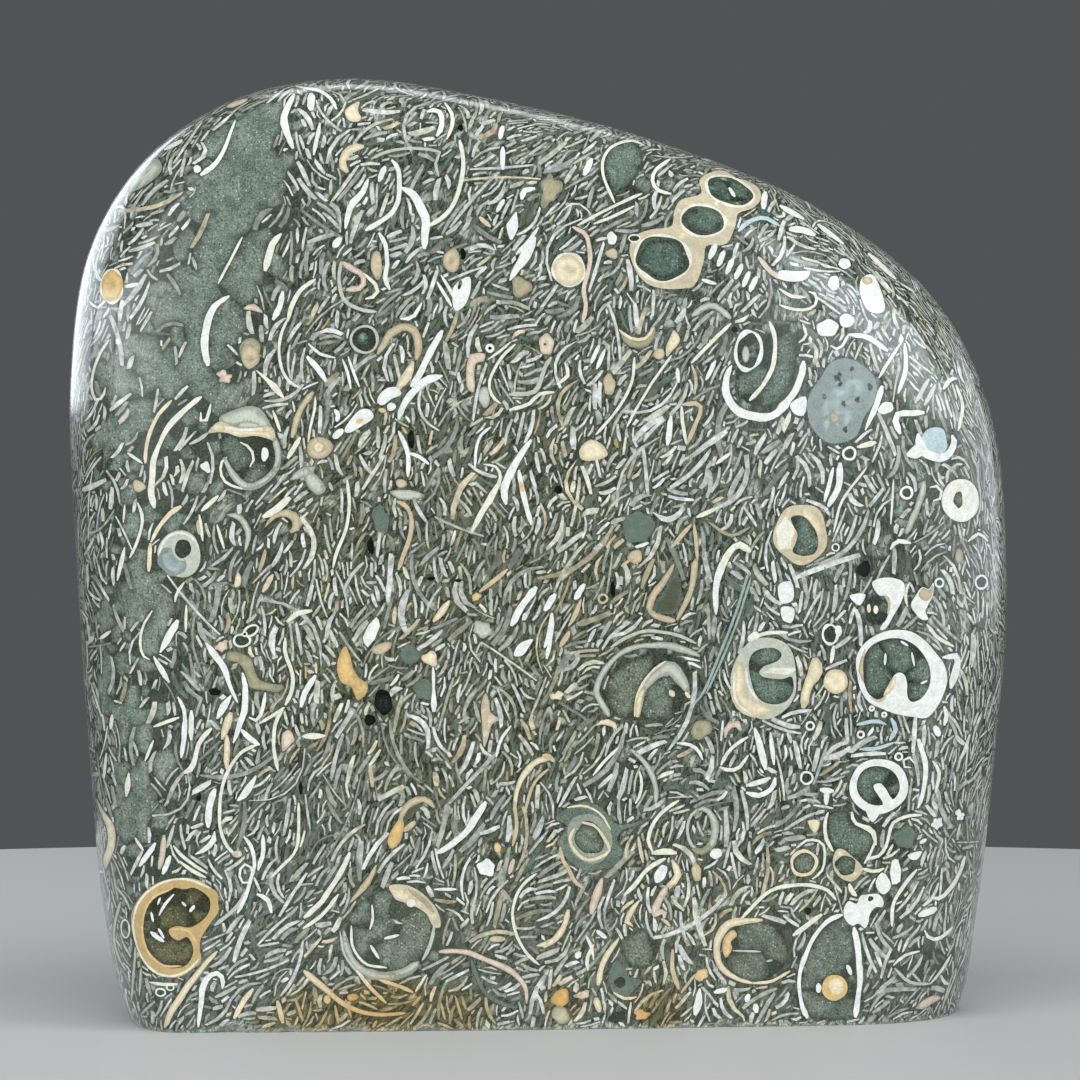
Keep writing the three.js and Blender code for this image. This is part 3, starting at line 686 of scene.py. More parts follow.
patch("ivory", -33.6, 41.6, -32.2, 42.1, -30.2, 41.7, -31.8, 41.2)
disc("grey", -8.1, 56.6, 1.4, 1.1, wobble=0.15)
arcs("cream", ((0.6, 1.0, 0.8), -12.8, 60.7, -13.9, 59.1, -15.1, 57.7),
    ((0.7, 0.9, 0.6, 0.5), 1.6, 38.4, -0.5, 37.9, -2.3, 36.1, -3.3, 33.6, -3.7, 30.8))
arcs("tan", (0.6, -4.6, 65.1, -6.2, 63.7, -8.6, 61.9), (0.6, -24, 37.5, -23.6, 34.4),
    (0.4, 1.2, 36.9, -0.7, 35.1, -1.7, 32.6, -2.2, 30.6), (0.7, 0.3, 38.8, 1.3, 38.6, 2, 37.9))
disc("orange", -9, 61.2, 0.6, wobble=0.2)
patch("pink", -7.7, 47.6, -7.2, 46.4, -7, 44.9, -5.8, 43.9, -6.8, 43.2, -7.4, 41.1, -7.9, 40, -8.2, 43.2,
    -8.3, 46)
arcs("tan", (0.6, -7.4, 46.8, -7.8, 42.6))

# Lower middle, right: a brown wedge, grey arches, a thick ring with a tongue.
patch("brown", 19, 64.7, 18, 62.6, 16.9, 60.8, 15.8, 59.4, 17.2, 58.9, 18.7, 58.7, 19.7, 59.8, 20.1, 61.9,
    19.7, 64)
arcs("tan", ((0.4, 0.9, 1.1, 0.7), 19, 65.8, 17.6, 63.3, 16.2, 61.6, 15.5, 59.8, 15.6, 58.8),
    (0.9, 15.7, 58.8, 17.6, 58, 19.2, 57.7),
    ((0.6, 0.8, 1.0), 19.4, 57.8, 20.6, 60.1, 21.5, 62.3, 21.8, 64.4, 22.2, 66.5),
    ((0.4, 0.7, 0.4), 5.8, 60.8, 4.9, 58.4, 4, 57), (0.7, 4.2, 56.3, 2.8, 54.1))
arcs("olive", (0.7, 16.2, 66.5, 15.1, 64.4, 14.4, 62.3))
ring("tan", "mud", 8.9, 60.9, 0.75, 0.75, 0.3)
arcs("white", (0.9, 6.3, 63, 4.9, 60.8), (0.7, 1.7, 58.9, 1.3, 55.9, 0.6, 54),
    (0.35, 17.9, 52.5, 20.4, 52.5, 22.7, 52), (0.4, 20.1, 51.8, 21.5, 51.7, 22.9, 51),
    ((0.6, 1.0, 0.8), 30.5, 42.5, 31.4, 39.6, 32.1, 36.5), (0.6, 32.8, 41.8, 33.3, 37.2),
    (0.7, 29.3, 34.3, 31, 34.7, 32.8, 35.4), (0.7, 29.3, 33.3, 31.4, 32.9, 33.1, 34, 33.5, 35.4),
    (0.45, 19.4, 40.4, 21.1, 40.2, 22.5, 39.3, 23.1, 38), (0.4, 11.1, 39.8, 9.1, 37.9, 7.5, 35.9),
    (0.9, 31, 56, 29.6, 55))
patch("white", 34, 62.8, 35.8, 63.2, 36, 60.6, 34.4, 60.2)
patch("white", 34.4, 59.6, 36.2, 59.4, 35.8, 57.4, 34.6, 57.8)
patch("mud", 21, 52, 18, 53, 14, 52.6, 10.5, 50.4, 9.4, 47.5, 10.6, 44.6, 14, 43.6, 20, 45.4)
arcs("grey", (0.45, 10, 54, 11.9, 55.2, 14.8, 56.3, 17.6, 56.1, 20.1, 55.5, 22.2, 54.5),
    (0.3, 12.3, 40.7, 13.7, 41.1, 15.3, 41.2),
    ((0.8, 0.9, 0.8, 0.7, 0.7, 0.8, 1.1, 0.6), 9.8, 44.2, 8.6, 46.4, 7.9, 47.8, 8.8, 50.2, 10.5, 52.4,
     12.7, 53.8, 15.8, 54.3, 18.7, 54.1, 21.1, 53.4, 22.7, 52.7),
    ((0.9, 1.1, 1.0, 1.5, 2.1, 1.7, 1.0), 13.9, 44.1, 14.1, 46.7, 15.1, 48.8, 16.5, 50.2, 18.3, 51,
     19.9, 49.7, 21.1, 47.4), ((0.5, 0.8, 0.6), 12.8, 39.6, 14.4, 38.2, 15.8, 36.1, 16.4, 34, 16.4, 31.9))
arcs("cream", (0.35, 13.4, 44.2, 13.9, 47.6, 15.9, 50.6, 17.8, 52), (0.8, 13.8, 44.1, 14, 46.6, 14.7, 48),
    ((0.4, 0.9, 0.5), 7.9, 43, 9.1, 43.5, 10.5, 43, 10.9, 42.3), (0.5, 20.6, 47.6, 21.3, 46.8),
    (0.8, 18.4, 47.9, 19, 47))
arcs("sandy", (0.35, 29.6, 64.4, 27.8, 58.7, 25.7, 53.4, 22.9, 47.1, 21.5, 45.7),
    (0.3, 30, 63.8, 28.4, 58.6, 26.3, 53.2, 23.6, 47.4))
eddy(15, 47, 6.5)
disc("grey", 32, 49.6, 4.75, 5.75, tilt=-6, wobble=0.03, core=False)
arcs("cream", ((0.5, 1.6, 2.4, 2.3, 1.0), 28.5, 52.4, 28.2, 49.5, 28.4, 46.8, 30.2, 45.2, 33.2, 45))
arcs("ivory", (0.3, 27.6, 50.5, 27.9, 46.3, 30.2, 44.3), (0.3, 29.3, 51, 29.6, 48.6, 31, 46.3))
patch("dark mud", 31.9, 53.8, 30.4, 53.2, 29.7, 51.8, 29.9, 49.7, 30.6, 47.4, 31.7, 46.2, 33.4, 45.8,
    35, 46.2, 36, 47.5, 36.1, 49, 35.8, 49.7, 34.5, 49.4, 32.9, 49.5, 31.6, 49.8, 31.2, 50.4, 31.9, 51.2,
    33, 51.6, 34, 52.1, 34.4, 52.9, 33.6, 53.7)
arcs("ivory", ((0.5, 0.9, 1.0), 31.8, 50.3, 33.2, 50.6, 35.2, 50.5, 36.4, 50.8))
eddy(32, 49.6, 5.5)
arcs("pink", ((0.4, 1.1, 0.8), 26.3, 41.1, 26.6, 42.5, 27.8, 43.2, 28.6, 42.1))
arcs("ivory", (0.5, 29.6, 54.8, 32.1, 55.9, 35.3, 56),
    (0.5, 25.7, 37.2, 26.6, 38.9, 28.2, 40.4, 29.6, 41.2),
    (0.5, 25.5, 37, 26.8, 36.5, 28.2, 36.8, 29.6, 38.6),
    (0.4, 14.1, 36.5, 14.4, 34.7, 14.1, 32.9, 13.5, 31.9))
disc("olive", 22.9, 42.3, 1.4, wobble=0.15)
disc("cream", 2.4, 47.2, 0.9, 0.6, wobble=0.2)

# Lower right: the big white ring with its column, a hooked shell above it, a cream ball.
patch("white", 47.5, 63.1, 48.8, 63.7, 50.6, 63.7, 52, 63.1, 52.2, 61.9, 51.6, 60.1, 50.6, 58.4,
    49.3, 56.4, 48.6, 56.4, 49.5, 58, 49.9, 59.4, 50, 60.7, 49.5, 61.2, 48.6, 61.2, 47.9, 61.9)
disc("dark mud", 48.1, 59.1, 1.8, 2.0)
arcs("tan", (0.4, 49.3, 61.3, 50, 60, 49.7, 58.6))
disc("white", 48, 59.2, 0.35, 0.6)
arcs("cream", (0.5, 47, 60, 47, 58.8))
patch("white", 53.1, 59.8, 53.8, 61.2, 54.8, 62.4, 55.7, 62.1, 56.4, 63, 56.3, 61.2, 55.6, 59.8,
    55.2, 58.9, 55.6, 57.8, 54.8, 57.7, 53.8, 58.6)
patch("tan", 54.2, 61.3, 54.9, 62.3, 55.7, 62, 56.3, 62.7, 56.2, 61.2, 55.4, 60.4, 54.6, 60.7)
patch("white", 44.2, 61.2, 46.5, 61.4, 45.6, 59.8)
arcs("ivory", (0.4, 52.8, 62.9, 52.3, 61.2, 52.6, 59.6), (0.5, 55.4, 57.1, 57, 55.2, 59.5, 53.8),
    (0.6, 58, 45.3, 58.4, 43.9, 58, 42.5), (0.5, 56.3, 37.5, 57.3, 35.8, 56.7, 33))
ring("white", "mud", 41.4, 55.7, 1.25, 1.55, 0.35)
disc("white", 42.6, 56.2, 0.5, 0.8)
patch("white", 45.3, 49.9, 45.2, 52.4, 46.1, 54.1, 48.1, 55.6, 50.6, 56.3, 53.2, 56, 55.2, 54.7,
    56.8, 52.9, 58, 51.3, 58.5, 49.2, 58, 47.2, 57, 45.3, 55.4, 43.7, 53.1, 43.9, 50.9, 44.3, 48.8, 45.1,
    47, 46, 45.8, 47.8)
arcs("tan", ((0.3, 1.1, 0.4), 46.4, 53.6, 46, 50.6, 46.4, 48.6), (0.5, 47.2, 46.7, 48.6, 46.2, 49.6, 47.2))
patch("dark mud", 46.2, 50.2, 46.3, 52.4, 47.3, 54, 49.1, 54.9, 51.3, 55.1, 53.4, 54.3, 54.8, 52.9,
    55.7, 51.3, 56, 49.5, 55.6, 47.8, 54.5, 46.4, 53.2, 46, 52.6, 46.7, 52.5, 48.8, 52.1, 49.9, 51.3, 50.2,
    50.5, 49.6, 50.1, 48.1, 49.2, 46.8, 48.1, 46.4, 46.9, 47.3, 46.3, 48.8)
arcs("cream", (0.8, 49.2, 46.9, 50.2, 48.2, 50.8, 49.6))
arcs("white", (0.35, 49.4, 53, 49.3, 51.3), (0.35, 53.2, 53.1, 53.6, 51.1), (0.35, 51.6, 54.7, 52.7, 54),
    (0.3, 54.5, 48.6, 55.5, 49), (0.6, 41.9, 54.1, 41.5, 51.6),
    ((0.5, 1.0, 1.2, 0.8), 57.7, 52.3, 60, 52.3, 59.7, 50, 59, 47.8),
    ((0.8, 0.7, 0.5), 54.1, 40.7, 55.2, 37.2, 55, 33.6, 54.1, 30.8), (0.9, 56.6, 42.5, 57.3, 41))
eddy(51.5, 50, 6.3)
disc("cream", 42.2, 49, 1.75, wobble=0.04)
arcs("cream", ((1.9, 1.9, 1.5, 1.3, 1.1), 39.2, 52.4, 39.3, 50.6, 38.1, 48.2, 37.5, 45.2))
arcs("blue", (0.55, 45.2, 42.8, 48, 43.3, 49.5, 42.8), (0.7, 50.2, 43.7, 50.9, 42.1, 50, 40.5),
    (0.5, 45.6, 39.3, 48.1, 39.4, 50.6, 40.2))
for x, z, size in ((47.4, 45.1, 0.45), (49.2, 44.2, 0.45), (45.8, 41.4, 0.6), (57.3, 63, 0.75),
        (63.8, 63, 1.1), (38, 35.3, 1.0), (38.5, 42.7, 0.7), (51.3, 38.2, 0.65)):
    ring("white", "mud", x, z, size, size, 0.3)
disc("white", 48.4, 34, 4.25, 3.95, wobble=0.02)
patch("white", 46.6, 30.6, 47.5, 28.9, 48.6, 30.6)
disc("dark mud", 48.3, 34.1, 3.15, 2.8, wobble=0.02)
patch("white", 50.6, 31.7, 50, 32.6, 49.5, 33.5, 48.6, 34.4, 47.7, 34.2, 47.7, 33.7, 48.4, 32.6, 49, 31.6,
    48.8, 30.7, 49.9, 30.5)
eddy(48.4, 34, 4.3)
hoop("white", 0.35, 52.7, 37.3, 0.8, 0.8, 0, 300)
arcs("white", (0.8, 39.9, 33.6, 41.9, 33.4), (0.7, 40.9, 33.4, 40.8, 31.4))

# Bottom left: the big cream hook, a cream wall on the edge, long leaning bars.
patch("cream", -63.4, 32.3, -61.8, 30.6, -60.4, 29.2, -60, 27.8, -60.2, 25.6, -61.2, 23.5, -61.9, 22.5,
    -62.2, 23.9, -61.5, 25.6, -61.3, 27.8, -62, 29.5, -63.2, 31.5)
patch("amber", -50, 21.8, -47.9, 21.4, -46.5, 20.5, -45.4, 19.6, -45.3, 18.2, -45.2, 17.2, -46.1, 15.8,
    -47.7, 13.3, -47.9, 11.9, -47.7, 10.1, -49, 8.9, -50.4, 8, -52.5, 7.8, -54.7, 8.7, -56.4, 11.2,
    -57.3, 13.3, -57.6, 16.5, -56.4, 18.9, -54.8, 20.5, -52.9, 21.4)
arcs("ivory", (0.3, -46.4, 20.3, -49.8, 21.6, -53.4, 21, -56.3, 18.6, -57.3, 15.6, -56.6, 11.6, -54.4, 8.7,
     -51.8, 8, -49.4, 8.9, -48, 10.4))
patch("stain", -50, 20.2, -51.8, 20.4, -53.6, 19.6, -55.2, 18.2, -55.9, 16.5, -56, 13.7, -55.4, 11.5,
    -54, 10.1, -52.5, 9.2, -51.1, 9.1, -49.7, 9.6, -48.8, 11.2, -49, 12.6, -49.7, 13.5, -50.9, 13,
    -52, 13.7, -52.2, 14.5, -51.1, 15, -49.3, 14.8, -47.5, 15.8, -46.5, 17.2, -46.5, 18.8, -47.5, 19.8,
    -48.8, 20.4)
arcs("orange", (0.3, -51.6, 20.4, -54.6, 18.8, -55.9, 16, -55.4, 11.8, -53, 9.5, -50.4, 9.4),
    (0.3, -51.6, 14.6, -49.4, 14.3, -48.2, 12.4))
arcs("white", (0.4, -51.5, 19.5, -52.9, 17.9, -53.6, 16.5), (0.6, -54.8, 14.2, -52.9, 12.8),
    (0.35, -53.7, 14.7, -52.9, 13.3), (0.35, -54.7, 17, -54.4, 15.6), (0.5, -48.6, 17.9, -49.3, 17),
    (0.35, -50.4, 18.4, -49.8, 17.8), (0.3, -53.4, 19, -53.8, 18))
eddy(-51.5, 14.8, 7)
ring("ivory", "mud", -58.6, 14.4, 0.8, 1.4, 0.25)
ring("ivory", "mud", -53.4, 5.7, 0.8, 0.65, 0.25)
ring("ivory", "mud", -52, 6.4, 0.6, 0.5, 0.2)
arcs("grey", (0.35, -60, 20.2, -58.6, 18.9, -57.8, 17.2),
    (0.4, -59.3, 18.2, -60.4, 14.7, -60.7, 12.2, -59.6, 9.4, -58.6, 8.4), (0.45, -51.5, 29.2, -52.5, 26),
    (0.5, -41, 20.4, -42.9, 17.5, -45.8, 15.1), (0.35, -57, 12, -57.4, 8, -58, 4),
    (0.35, -56.2, 9, -56.6, 5))
arcs("ivory", (0.5, -50.7, 24.1, -49, 22.8, -47, 21.8),
    (0.45, -51.6, 26.3, -50.4, 24.9, -48.6, 23.5, -46.8, 22.4), (0.45, -55, 7.1, -52.9, 6.8, -51, 6.9),
    (0.4, -34, 32.3, -34, 28.8, -34.4, 25.6, -36.5, 23.2, -37.9, 21.8))
arcs("white", (0.7, -54.1, 26.7, -55, 25.3, -56.4, 23.4), (0.4, -57, 27.4, -55.8, 25.6),
    (0.7, -52, 24.9, -53.1, 22.3), ((0.5, 0.6, 0.9, 0.7, 0.5), -48.1, 0.8, -47.7, 4.1, -47.5, 6.2,
     -46.5, 8, -45.4, 8.4, -44.7, 7.7, -44.7, 6.2),
    (0.5, -41.7, 27.6, -40.6, 26, -40.2, 23.5, -40.8, 21.4, -41.5, 18.9, -42.6, 16.8),
    (0.6, -39, 27.8, -39, 25.3, -39.7, 22.8), (0.6, -39.9, 19.5, -38.3, 18.6, -37.8, 16.8))
arcs("pink", (0.8, -52.9, 27.8, -53.1, 25.3, -53.6, 23))
hoop("white", 0.35, -41.4, 22.3, 0.9, 1.4, 0, 300)
arcs("cream", ((0.5, 0.7, 0.9, 1.0, 0.6), -45.4, 11.5, -47.9, 8.7, -50, 5.9, -51.8, 3.1, -52.9, 0.6),
    (0.7, -40.4, 6.2, -41.9, 4.1, -43.1, 2), (0.7, -37, 4.5, -36.2, 1.3))

# Bottom, left of the middle: the broad grey ring, long thin arcs.
arcs("tan", (0.35, -30, 3, -31, 1), (0.35, -27.4, 4.6, -26.6, 2), (0.35, -12, 5, -11, 1.6),
    (0.35, -14, 4, -13.4, 1.6), (0.4, -23, 1.6, -23.6, 0.6), (0.4, -34.4, 4.6, -33.4, 1.6),
    (0.4, -16.8, 5, -18, 3.6), (0.4, -28.9, 3.8, -28.4, 1.2))
disc("cream", -30, 4.6, 0.5, 0.6)
disc("orange", -26.4, 4.9, 0.8, 0.5)
patch("amber", -21, 25.8, -21.5, 26.7, -21.1, 28.1, -20.3, 29.4, -19.6, 30.2, -19.2, 29.2, -19.4, 27.8,
    -19.9, 26.5)
arcs("tan", ((0.7, 1.0, 0.9, 0.7), -19.9, 29.8, -18.8, 31.6, -17.3, 32.7, -16, 32.6, -14.9, 31.5),
    (0.7, -19.2, 28.2, -17.6, 29.6))
arcs("brown", (0.9, -19.1, 29.6, -18.1, 31.2, -16.8, 31.9))
arcs("white", ((0.7, 0.9, 1.0), -14.6, 25.1, -12.5, 26.3, -10.4, 28.1, -9, 30.2, -7.6, 32.3),
    (0.4, -11.8, 20, -15, 20))
arcs("tan", ((0.5, 0.9, 0.4), -23.1, 23.5, -24.1, 21.4, -25.2, 20, -26.8, 18.2),
    (0.5, -3.7, 32.3, -3.3, 28.8, -3.9, 26))
arcs("ivory", (0.7, -33.3, 16.1, -31.2, 17.9, -29.4, 20.4, -27.7, 23.2, -26.8, 25.3),
    (0.5, -33.4, 14.6, -30.6, 16.6, -28.4, 19.4))
disc("mud", -21, 14, 6.2, 6, wobble=0.04)
arcs("grey", ((0.5, 0.9, 0.8, 1.3, 1.3, 1.4, 0.9), -27.7, 14.4, -27.1, 11.5, -25.9, 9.4, -24.1, 8.2,
     -21.7, 7.8, -18.9, 8.4, -17.1, 9.8), (0.5, -15, 14.8, -15.4, 12.4, -16.6, 10),
    (0.3, -28.2, 14.2, -27.6, 11, -25.8, 8.4), (0.4, -20, 17.6, -20.6, 15.6, -19.4, 15.2))
patch("cream", -21.3, 20.5, -19.2, 20.7, -17.4, 20, -15.7, 18.6, -14.4, 16.8, -14.1, 14.7, -15, 14.7,
    -16, 16.5, -17.4, 17.5, -19.2, 18.2, -20.3, 18.6, -21, 19.6)
arcs("olive", (0.7, -18.6, 20, -16.6, 18.6, -15, 16.8))
patch("pale mud", -20.8, 18.2, -21.2, 16.4, -20, 15.6, -18.4, 16.8, -17.4, 17.3, -19.2, 18)
arcs("ivory", (0.35, -23.7, 17.9, -23.6, 15.8, -24, 14.4), (0.45, -22, 13.1, -19.9, 13.6),
    (0.45, -23.9, 12.2, -22.7, 10.3), (0.35, -26.6, 15, -26.4, 12, -24.6, 9.6, -21.6, 9),
    (0.5, -25.9, 8.7, -23.8, 6.1, -21.7, 4), (0.4, -16, 8, -17.6, 5.6),
    (0.4, -0.5, 22.1, -2.3, 20.7, -3.5, 18.6, -3.9, 16.5, -3.5, 14, -2.6, 11.9, -1.2, 10.1, -0.1, 9.2))
disc("ivory", -18.2, 18.1, 0.6)
eddy(-21, 14.2, 7.3)
arcs("cream", ((0.8, 0.8, 0.6, 0.5), -33.3, 8.7, -30.1, 5.9, -27.7, 4, -25.2, 2.8, -22, 2.4, -19, 2.6),
    (0.5, -22.7, 7.3, -19.9, 6.4, -17.9, 5.5), ((0.4, 0.9), -0.5, 11.9, 0.5, 12.1, 2, 12.8))
arcs("pink", ((0.6, 0.7, 0.8, 0.4), -14.3, 11.2, -12.2, 11.3, -10, 11, -7.9, 10.1, -5.4, 9.1, -3.3, 7.7,
     -2.1, 6.1, -1.9, 3.8), (0.6, -3.7, 24.2, -4.4, 22.1))
arcs("green", (0.5, -9.7, 10.1, -9, 7.7, -7.6, 5.2, -5.4, 3.8, -3.2, 3.2))
disc("white", -7.6, 23, 1.25, 1.15, wobble=0.25)
disc("orange", -6, 25.8, 0.5, 0.7)
arcs("tan", (0.75, -7.1, 12.9, -4.9, 12.9))

# Bottom, right of the middle: the clouded ring with a dark hole, a pink bar, an open amber-lined ring.
patch("green", 2.4, 29.9, 4.5, 31.6, 6.6, 32.2, 8.8, 31.3, 10.5, 29.2, 12.7, 29, 15.5, 30, 14.4, 29,
    11.6, 28.1, 10.9, 26.7, 11.6, 25.3, 11.2, 23.9, 9.8, 23, 7.3, 22.5, 5.6, 22.8, 4.2, 23.9, 2.9, 25.3,
    2.6, 26.7, 3.8, 28.8)
disc("grey", 7, 27, 3.1, 3.6, tilt=20, wobble=0.05)
disc("dark mud", 7, 27.05, 2.0, 2.35, tilt=20)
arcs("cream",
    (0.4, 4.9, 28.5, 4.2, 27, 4.9, 25.3, 6.6, 24, 8.7, 24.4, 9.8, 25.3, 9.1, 27, 7.7, 28.8, 5.9, 29.3),
    (0.3, 3.8, 31.4, 6.4, 31.6, 8.6, 30.4, 10, 28.2),
    ((0.6, 1.1, 0.9), 18.7, 23.9, 19.5, 22.1, 19.4, 21.1, 18, 20.2),
    ((0.4, 0.8, 0.7, 1.0), 11.2, 12.9, 9.5, 10.5, 8.6, 8.4, 8.2, 6.2),
    (0.8, 4, 17, 3.6, 15.1, 2.4, 13.1, 0.5, 11.7), ((1.0, 0.8), 7.9, 4.5, 8.4, 2.4),
    ((0.5, 0.9, 0.5), 14.1, 18.2, 12.8, 16.5, 12.3, 15.1, 13.2, 14.5))
arcs("tan", ((0.6, 0.5, 0.6, 0.4), 2.8, 25.8, 3.1, 24.2, 4, 22.8, 4.9, 21, 6.1, 20),
    (0.6, 18.8, 11.2, 18.8, 8.4, 19.7, 5.5), (0.4, 20, 5, 22, 7.6), (0.4, 16.4, 12.2, 16, 9.4, 14.8, 7.7))
arcs("pink", ((0.8, 1.1, 1.1), 8.8, 21.4, 7.9, 18.6, 7.2, 16.3), (1.0, 18, 20.2, 16.9, 18.2, 16, 16.1),
    (0.7, 16, 15.9, 17.6, 16.6, 17.6, 15.6), (0.5, 13.9, 27.2, 14.2, 25.6, 14.6, 23.5))
arcs("ivory", (0.5, 19.7, 32.3, 17.6, 30.9, 16.2, 29.2, 15.3, 26.7, 16, 25),
    (0.8, 15.8, 24.8, 18, 25.1, 19.4, 24.8), (0.6, 17.8, 24.1, 15.1, 22.5, 13.7, 20.7, 11.9, 18.9),
    (0.5, 35.6, 20.1, 33.1, 19.5, 31, 17.9, 28.6, 15.4), (0.4, 6.5, 13.3, 7.3, 11.5, 7.6, 9.8),
    (0.5, 7.6, 12, 6.6, 9.8, 6.8, 8.4))
disc("white", 17.1, 21.9, 0.75, 1.4, tilt=-25)
disc("tan", 22.2, 22.1, 0.65, 1.4, tilt=10)
disc("white", 25, 24.7, 0.85, 0.75)
arcs("white", (0.6, 8, 14, 9.4, 12.9), (0.9, 5.7, 11, 5.1, 10.1),
    ((0.5, 1.1, 0.9), 22.7, 5.6, 22.5, 4, 22, 1.8), (0.7, 24.7, 5, 26.6, 5.4), (1.0, 30.6, 3.3, 30.8, 2),
    (0.8, 29.7, 4.7, 29.3, 3.6))
hoop("grey", (0.5, 1.0, 1.1, 0.9, 0.5), 22.9, 28.1, 2, 3, -110, 110)
hoop("grey", 0.4, 22.9, 28.1, 2, 3, 110, 250)
arcs("olive", (0.8, 21.6, 25.4, 23, 24.9, 24.2, 25.8))
patch("green", 10.9, 9.8, 9.8, 8, 10.2, 5.5, 11.9, 4.5, 13.7, 5.9, 14.4, 6.9, 12.7, 7.3, 11.6, 9.1)
disc("dark mud", 14.2, 11.2, 2.6)
disc("dark mud", 11.3, 6.6, 0.8)
arcs("cream", (0.4, 10.4, 5.2, 11.9, 4.3, 13.7, 4.5))
disc("dark mud", 30.6, 10.8, 4.7, 4.2, wobble=0.03)
arcs("cream", ((0.5, 0.9, 1.2, 1.1, 0.9, 0.8, 0.6, 0.4), 31.7, 15.2, 29.6, 15.1, 27.5, 14.9, 26.1, 14,
     25.2, 12.2, 25.2, 9.8, 26.3, 8, 28.2, 6.8, 30.3, 6.2), (0.4, 30.3, 6.2, 33, 6.5, 35.6, 7.9))
patch("orange", 27.5, 13.8, 28, 13.1, 27.1, 12.1, 27.3, 11.2, 26.4, 9.9, 25.9, 11.2, 26.3, 13)
arcs("grey", (0.3, 32.2, 9.3, 33.1, 9.5), (0.3, 27.4, 10.9, 31.4, 10.7))
eddy(30.5, 11, 5.5)
disc("orange", 14.4, 2, 1.1, 0.7, wobble=0.2)
disc("deep mud", 10.9, 1.7, 1.1, 0.9, wobble=0.2)
disc("orange", 22.9, 7.5, 0.9, wobble=0.2)
disc("amber", 2.9, 4.5, 1.2, 1.3, wobble=0.12)
disc("grey", 2.9, 2.1, 1.3, 1.2, wobble=0.15)
disc("pink", 6, 4.9, 1.0, 0.6, wobble=0.2)

# Bottom right: a chamber above two small rings, a star-shaped lump over a bell, an amber ball.
patch("dark mud", 41.3, 30.2, 41.1, 27.8, 41.7, 25.6, 42.7, 25.1, 44.5, 24.2, 45.9, 23.9, 47.3, 25.3,
    47.7, 27.1, 45.5, 28.5, 44.7, 30.2)
arcs("ivory", (0.5, 41.1, 30.4, 40.6, 28.8, 40.8, 26.7, 41.8, 24.8),
    (0.45, 46.6, 23.7, 48.4, 24.1, 49.4, 25.3, 49.9, 27.1, 50.5, 28.8, 52.6, 29.7, 54.7, 29.8),
    ((0.6, 0.5, 0.8, 0.4), 44.5, 30.4, 44.8, 29, 46.1, 28.3, 47.5, 27.6, 48, 25.6),
    (0.4, 48, 26.5, 47.3, 24.7, 46.3, 23),
    (0.35, 36.5, 25.3, 38.1, 26.5, 40.2, 26, 40.6, 24.2, 40.2, 22.1, 38.8, 20.9),
    (0.5, 45.9, 22.3, 48, 21.9, 49.2, 22.3), (0.5, 33.9, 19.7, 36.4, 20.1, 38.8, 20, 41, 19.3, 42.2, 17.9),
    (0.6, 44.1, 20.2, 44.5, 19.1, 45.2, 18.4), (0.5, 50.3, 14, 50.5, 17.2, 52.2, 20, 54, 22.1),
    (0.6, 56.3, 17.9, 57.5, 17.7, 58.9, 18.8, 60.7, 21.4, 61.4, 23.5),
    (0.4, 56.1, 5.4, 57.9, 7.3, 59.3, 9.4), (0.4, 50.5, 8.4, 52.2, 9.8, 54.4, 10.3),
    (0.7, 36, 12.9, 38.1, 14.4, 40.2, 15.9))
patch("cream", 42.4, 25.1, 41.8, 23.9, 42, 22.1, 43.1, 20.9, 44.5, 20.5, 45.5, 21.2, 46.1, 22.1, 45.7, 23,
    44.5, 24.1, 43.2, 25.1)
disc("dark mud", 43.6, 22.8, 1.5, 1.4, tilt=-20)
ring("cream", "mud", 37.6, 23.2, 2.0, 1.95, 0.45)
patch("cream", 38.1, 29.2, 39.9, 29.2, 39.2, 27.4, steps=2)
disc("green", 52.2, 26.7, 1.5, 1.6, wobble=0.08)
patch("white", 48.9, 21.7, 49.9, 20.7, 50.1, 19.5, 49.1, 18.6, 48.2, 19.3, 48, 20.5)
patch("white", 50.3, 23.4, 51.2, 23.5, 51.5, 20.4, 50.3, 20, steps=2)
patch("white", 52.6, 24.1, 54.7, 24.6, 54, 23.5, 53.1, 23.5)
arcs("white", (0.5, 54.4, 25.8, 55.4, 26.3), (1.0, 54.2, 15.4, 57, 16.3),
    (0.5, 55.1, 13.3, 55.8, 12.1, 57.2, 11.9, 58.6, 12.6, 59.5, 13.3))
disc("white", 57, 28.5, 0.8, wobble=0.25)
disc("white", 60.5, 29.5, 0.7, wobble=0.25)
patch("dark mud", 43.4, 15.2, 41.4, 14.6, 39.2, 12.4, 38, 10, 37.3, 7, 37.4, 3.4, 38.4, 1.4, 44.6, 1.4,
    45, 6, 44.8, 10, 44.4, 13.6)
arcs("white", ((0.7, 0.6, 0.5, 0.7, 0.5, 0.5, 0.8), 43.2, 15.8, 41.3, 15.1, 39.2, 12.9, 38, 10.5, 37.1, 8,
     36.9, 5.5, 37.4, 2.7, 38.1, 1.1),
    ((0.8, 0.9, 0.7, 0.8), 44.8, 14, 45.2, 11.9, 45.5, 9.4, 45.7, 6.6, 45.4, 4.1, 45, 1.1),
    (0.6, 43.8, 8.6, 44.4, 7.2))
patch("white", 45.7, 18.4, 46.8, 18.6, 48.4, 18.6, 49.1, 17.5, 48.9, 16.8, 48, 16.8, 47.1, 15.8,
    46.9, 14.7, 46.4, 13.8, 45.5, 14.5, 44.5, 14.2, 43.4, 15.4, 43.4, 16.8, 44.1, 17.7, 45.2, 17.3,
    steps=3)
disc("mud", 47.2, 18, 0.4, wobble=0.2)
eddy(41.5, 8, 6)
disc("amber", 42, 5.4, 1.85, wobble=0.02, core=False)
disc("cream", 42.2, 5.6, 1.1, core=False)
disc("white", 39.7, 5.4, 0.4, 0.7)
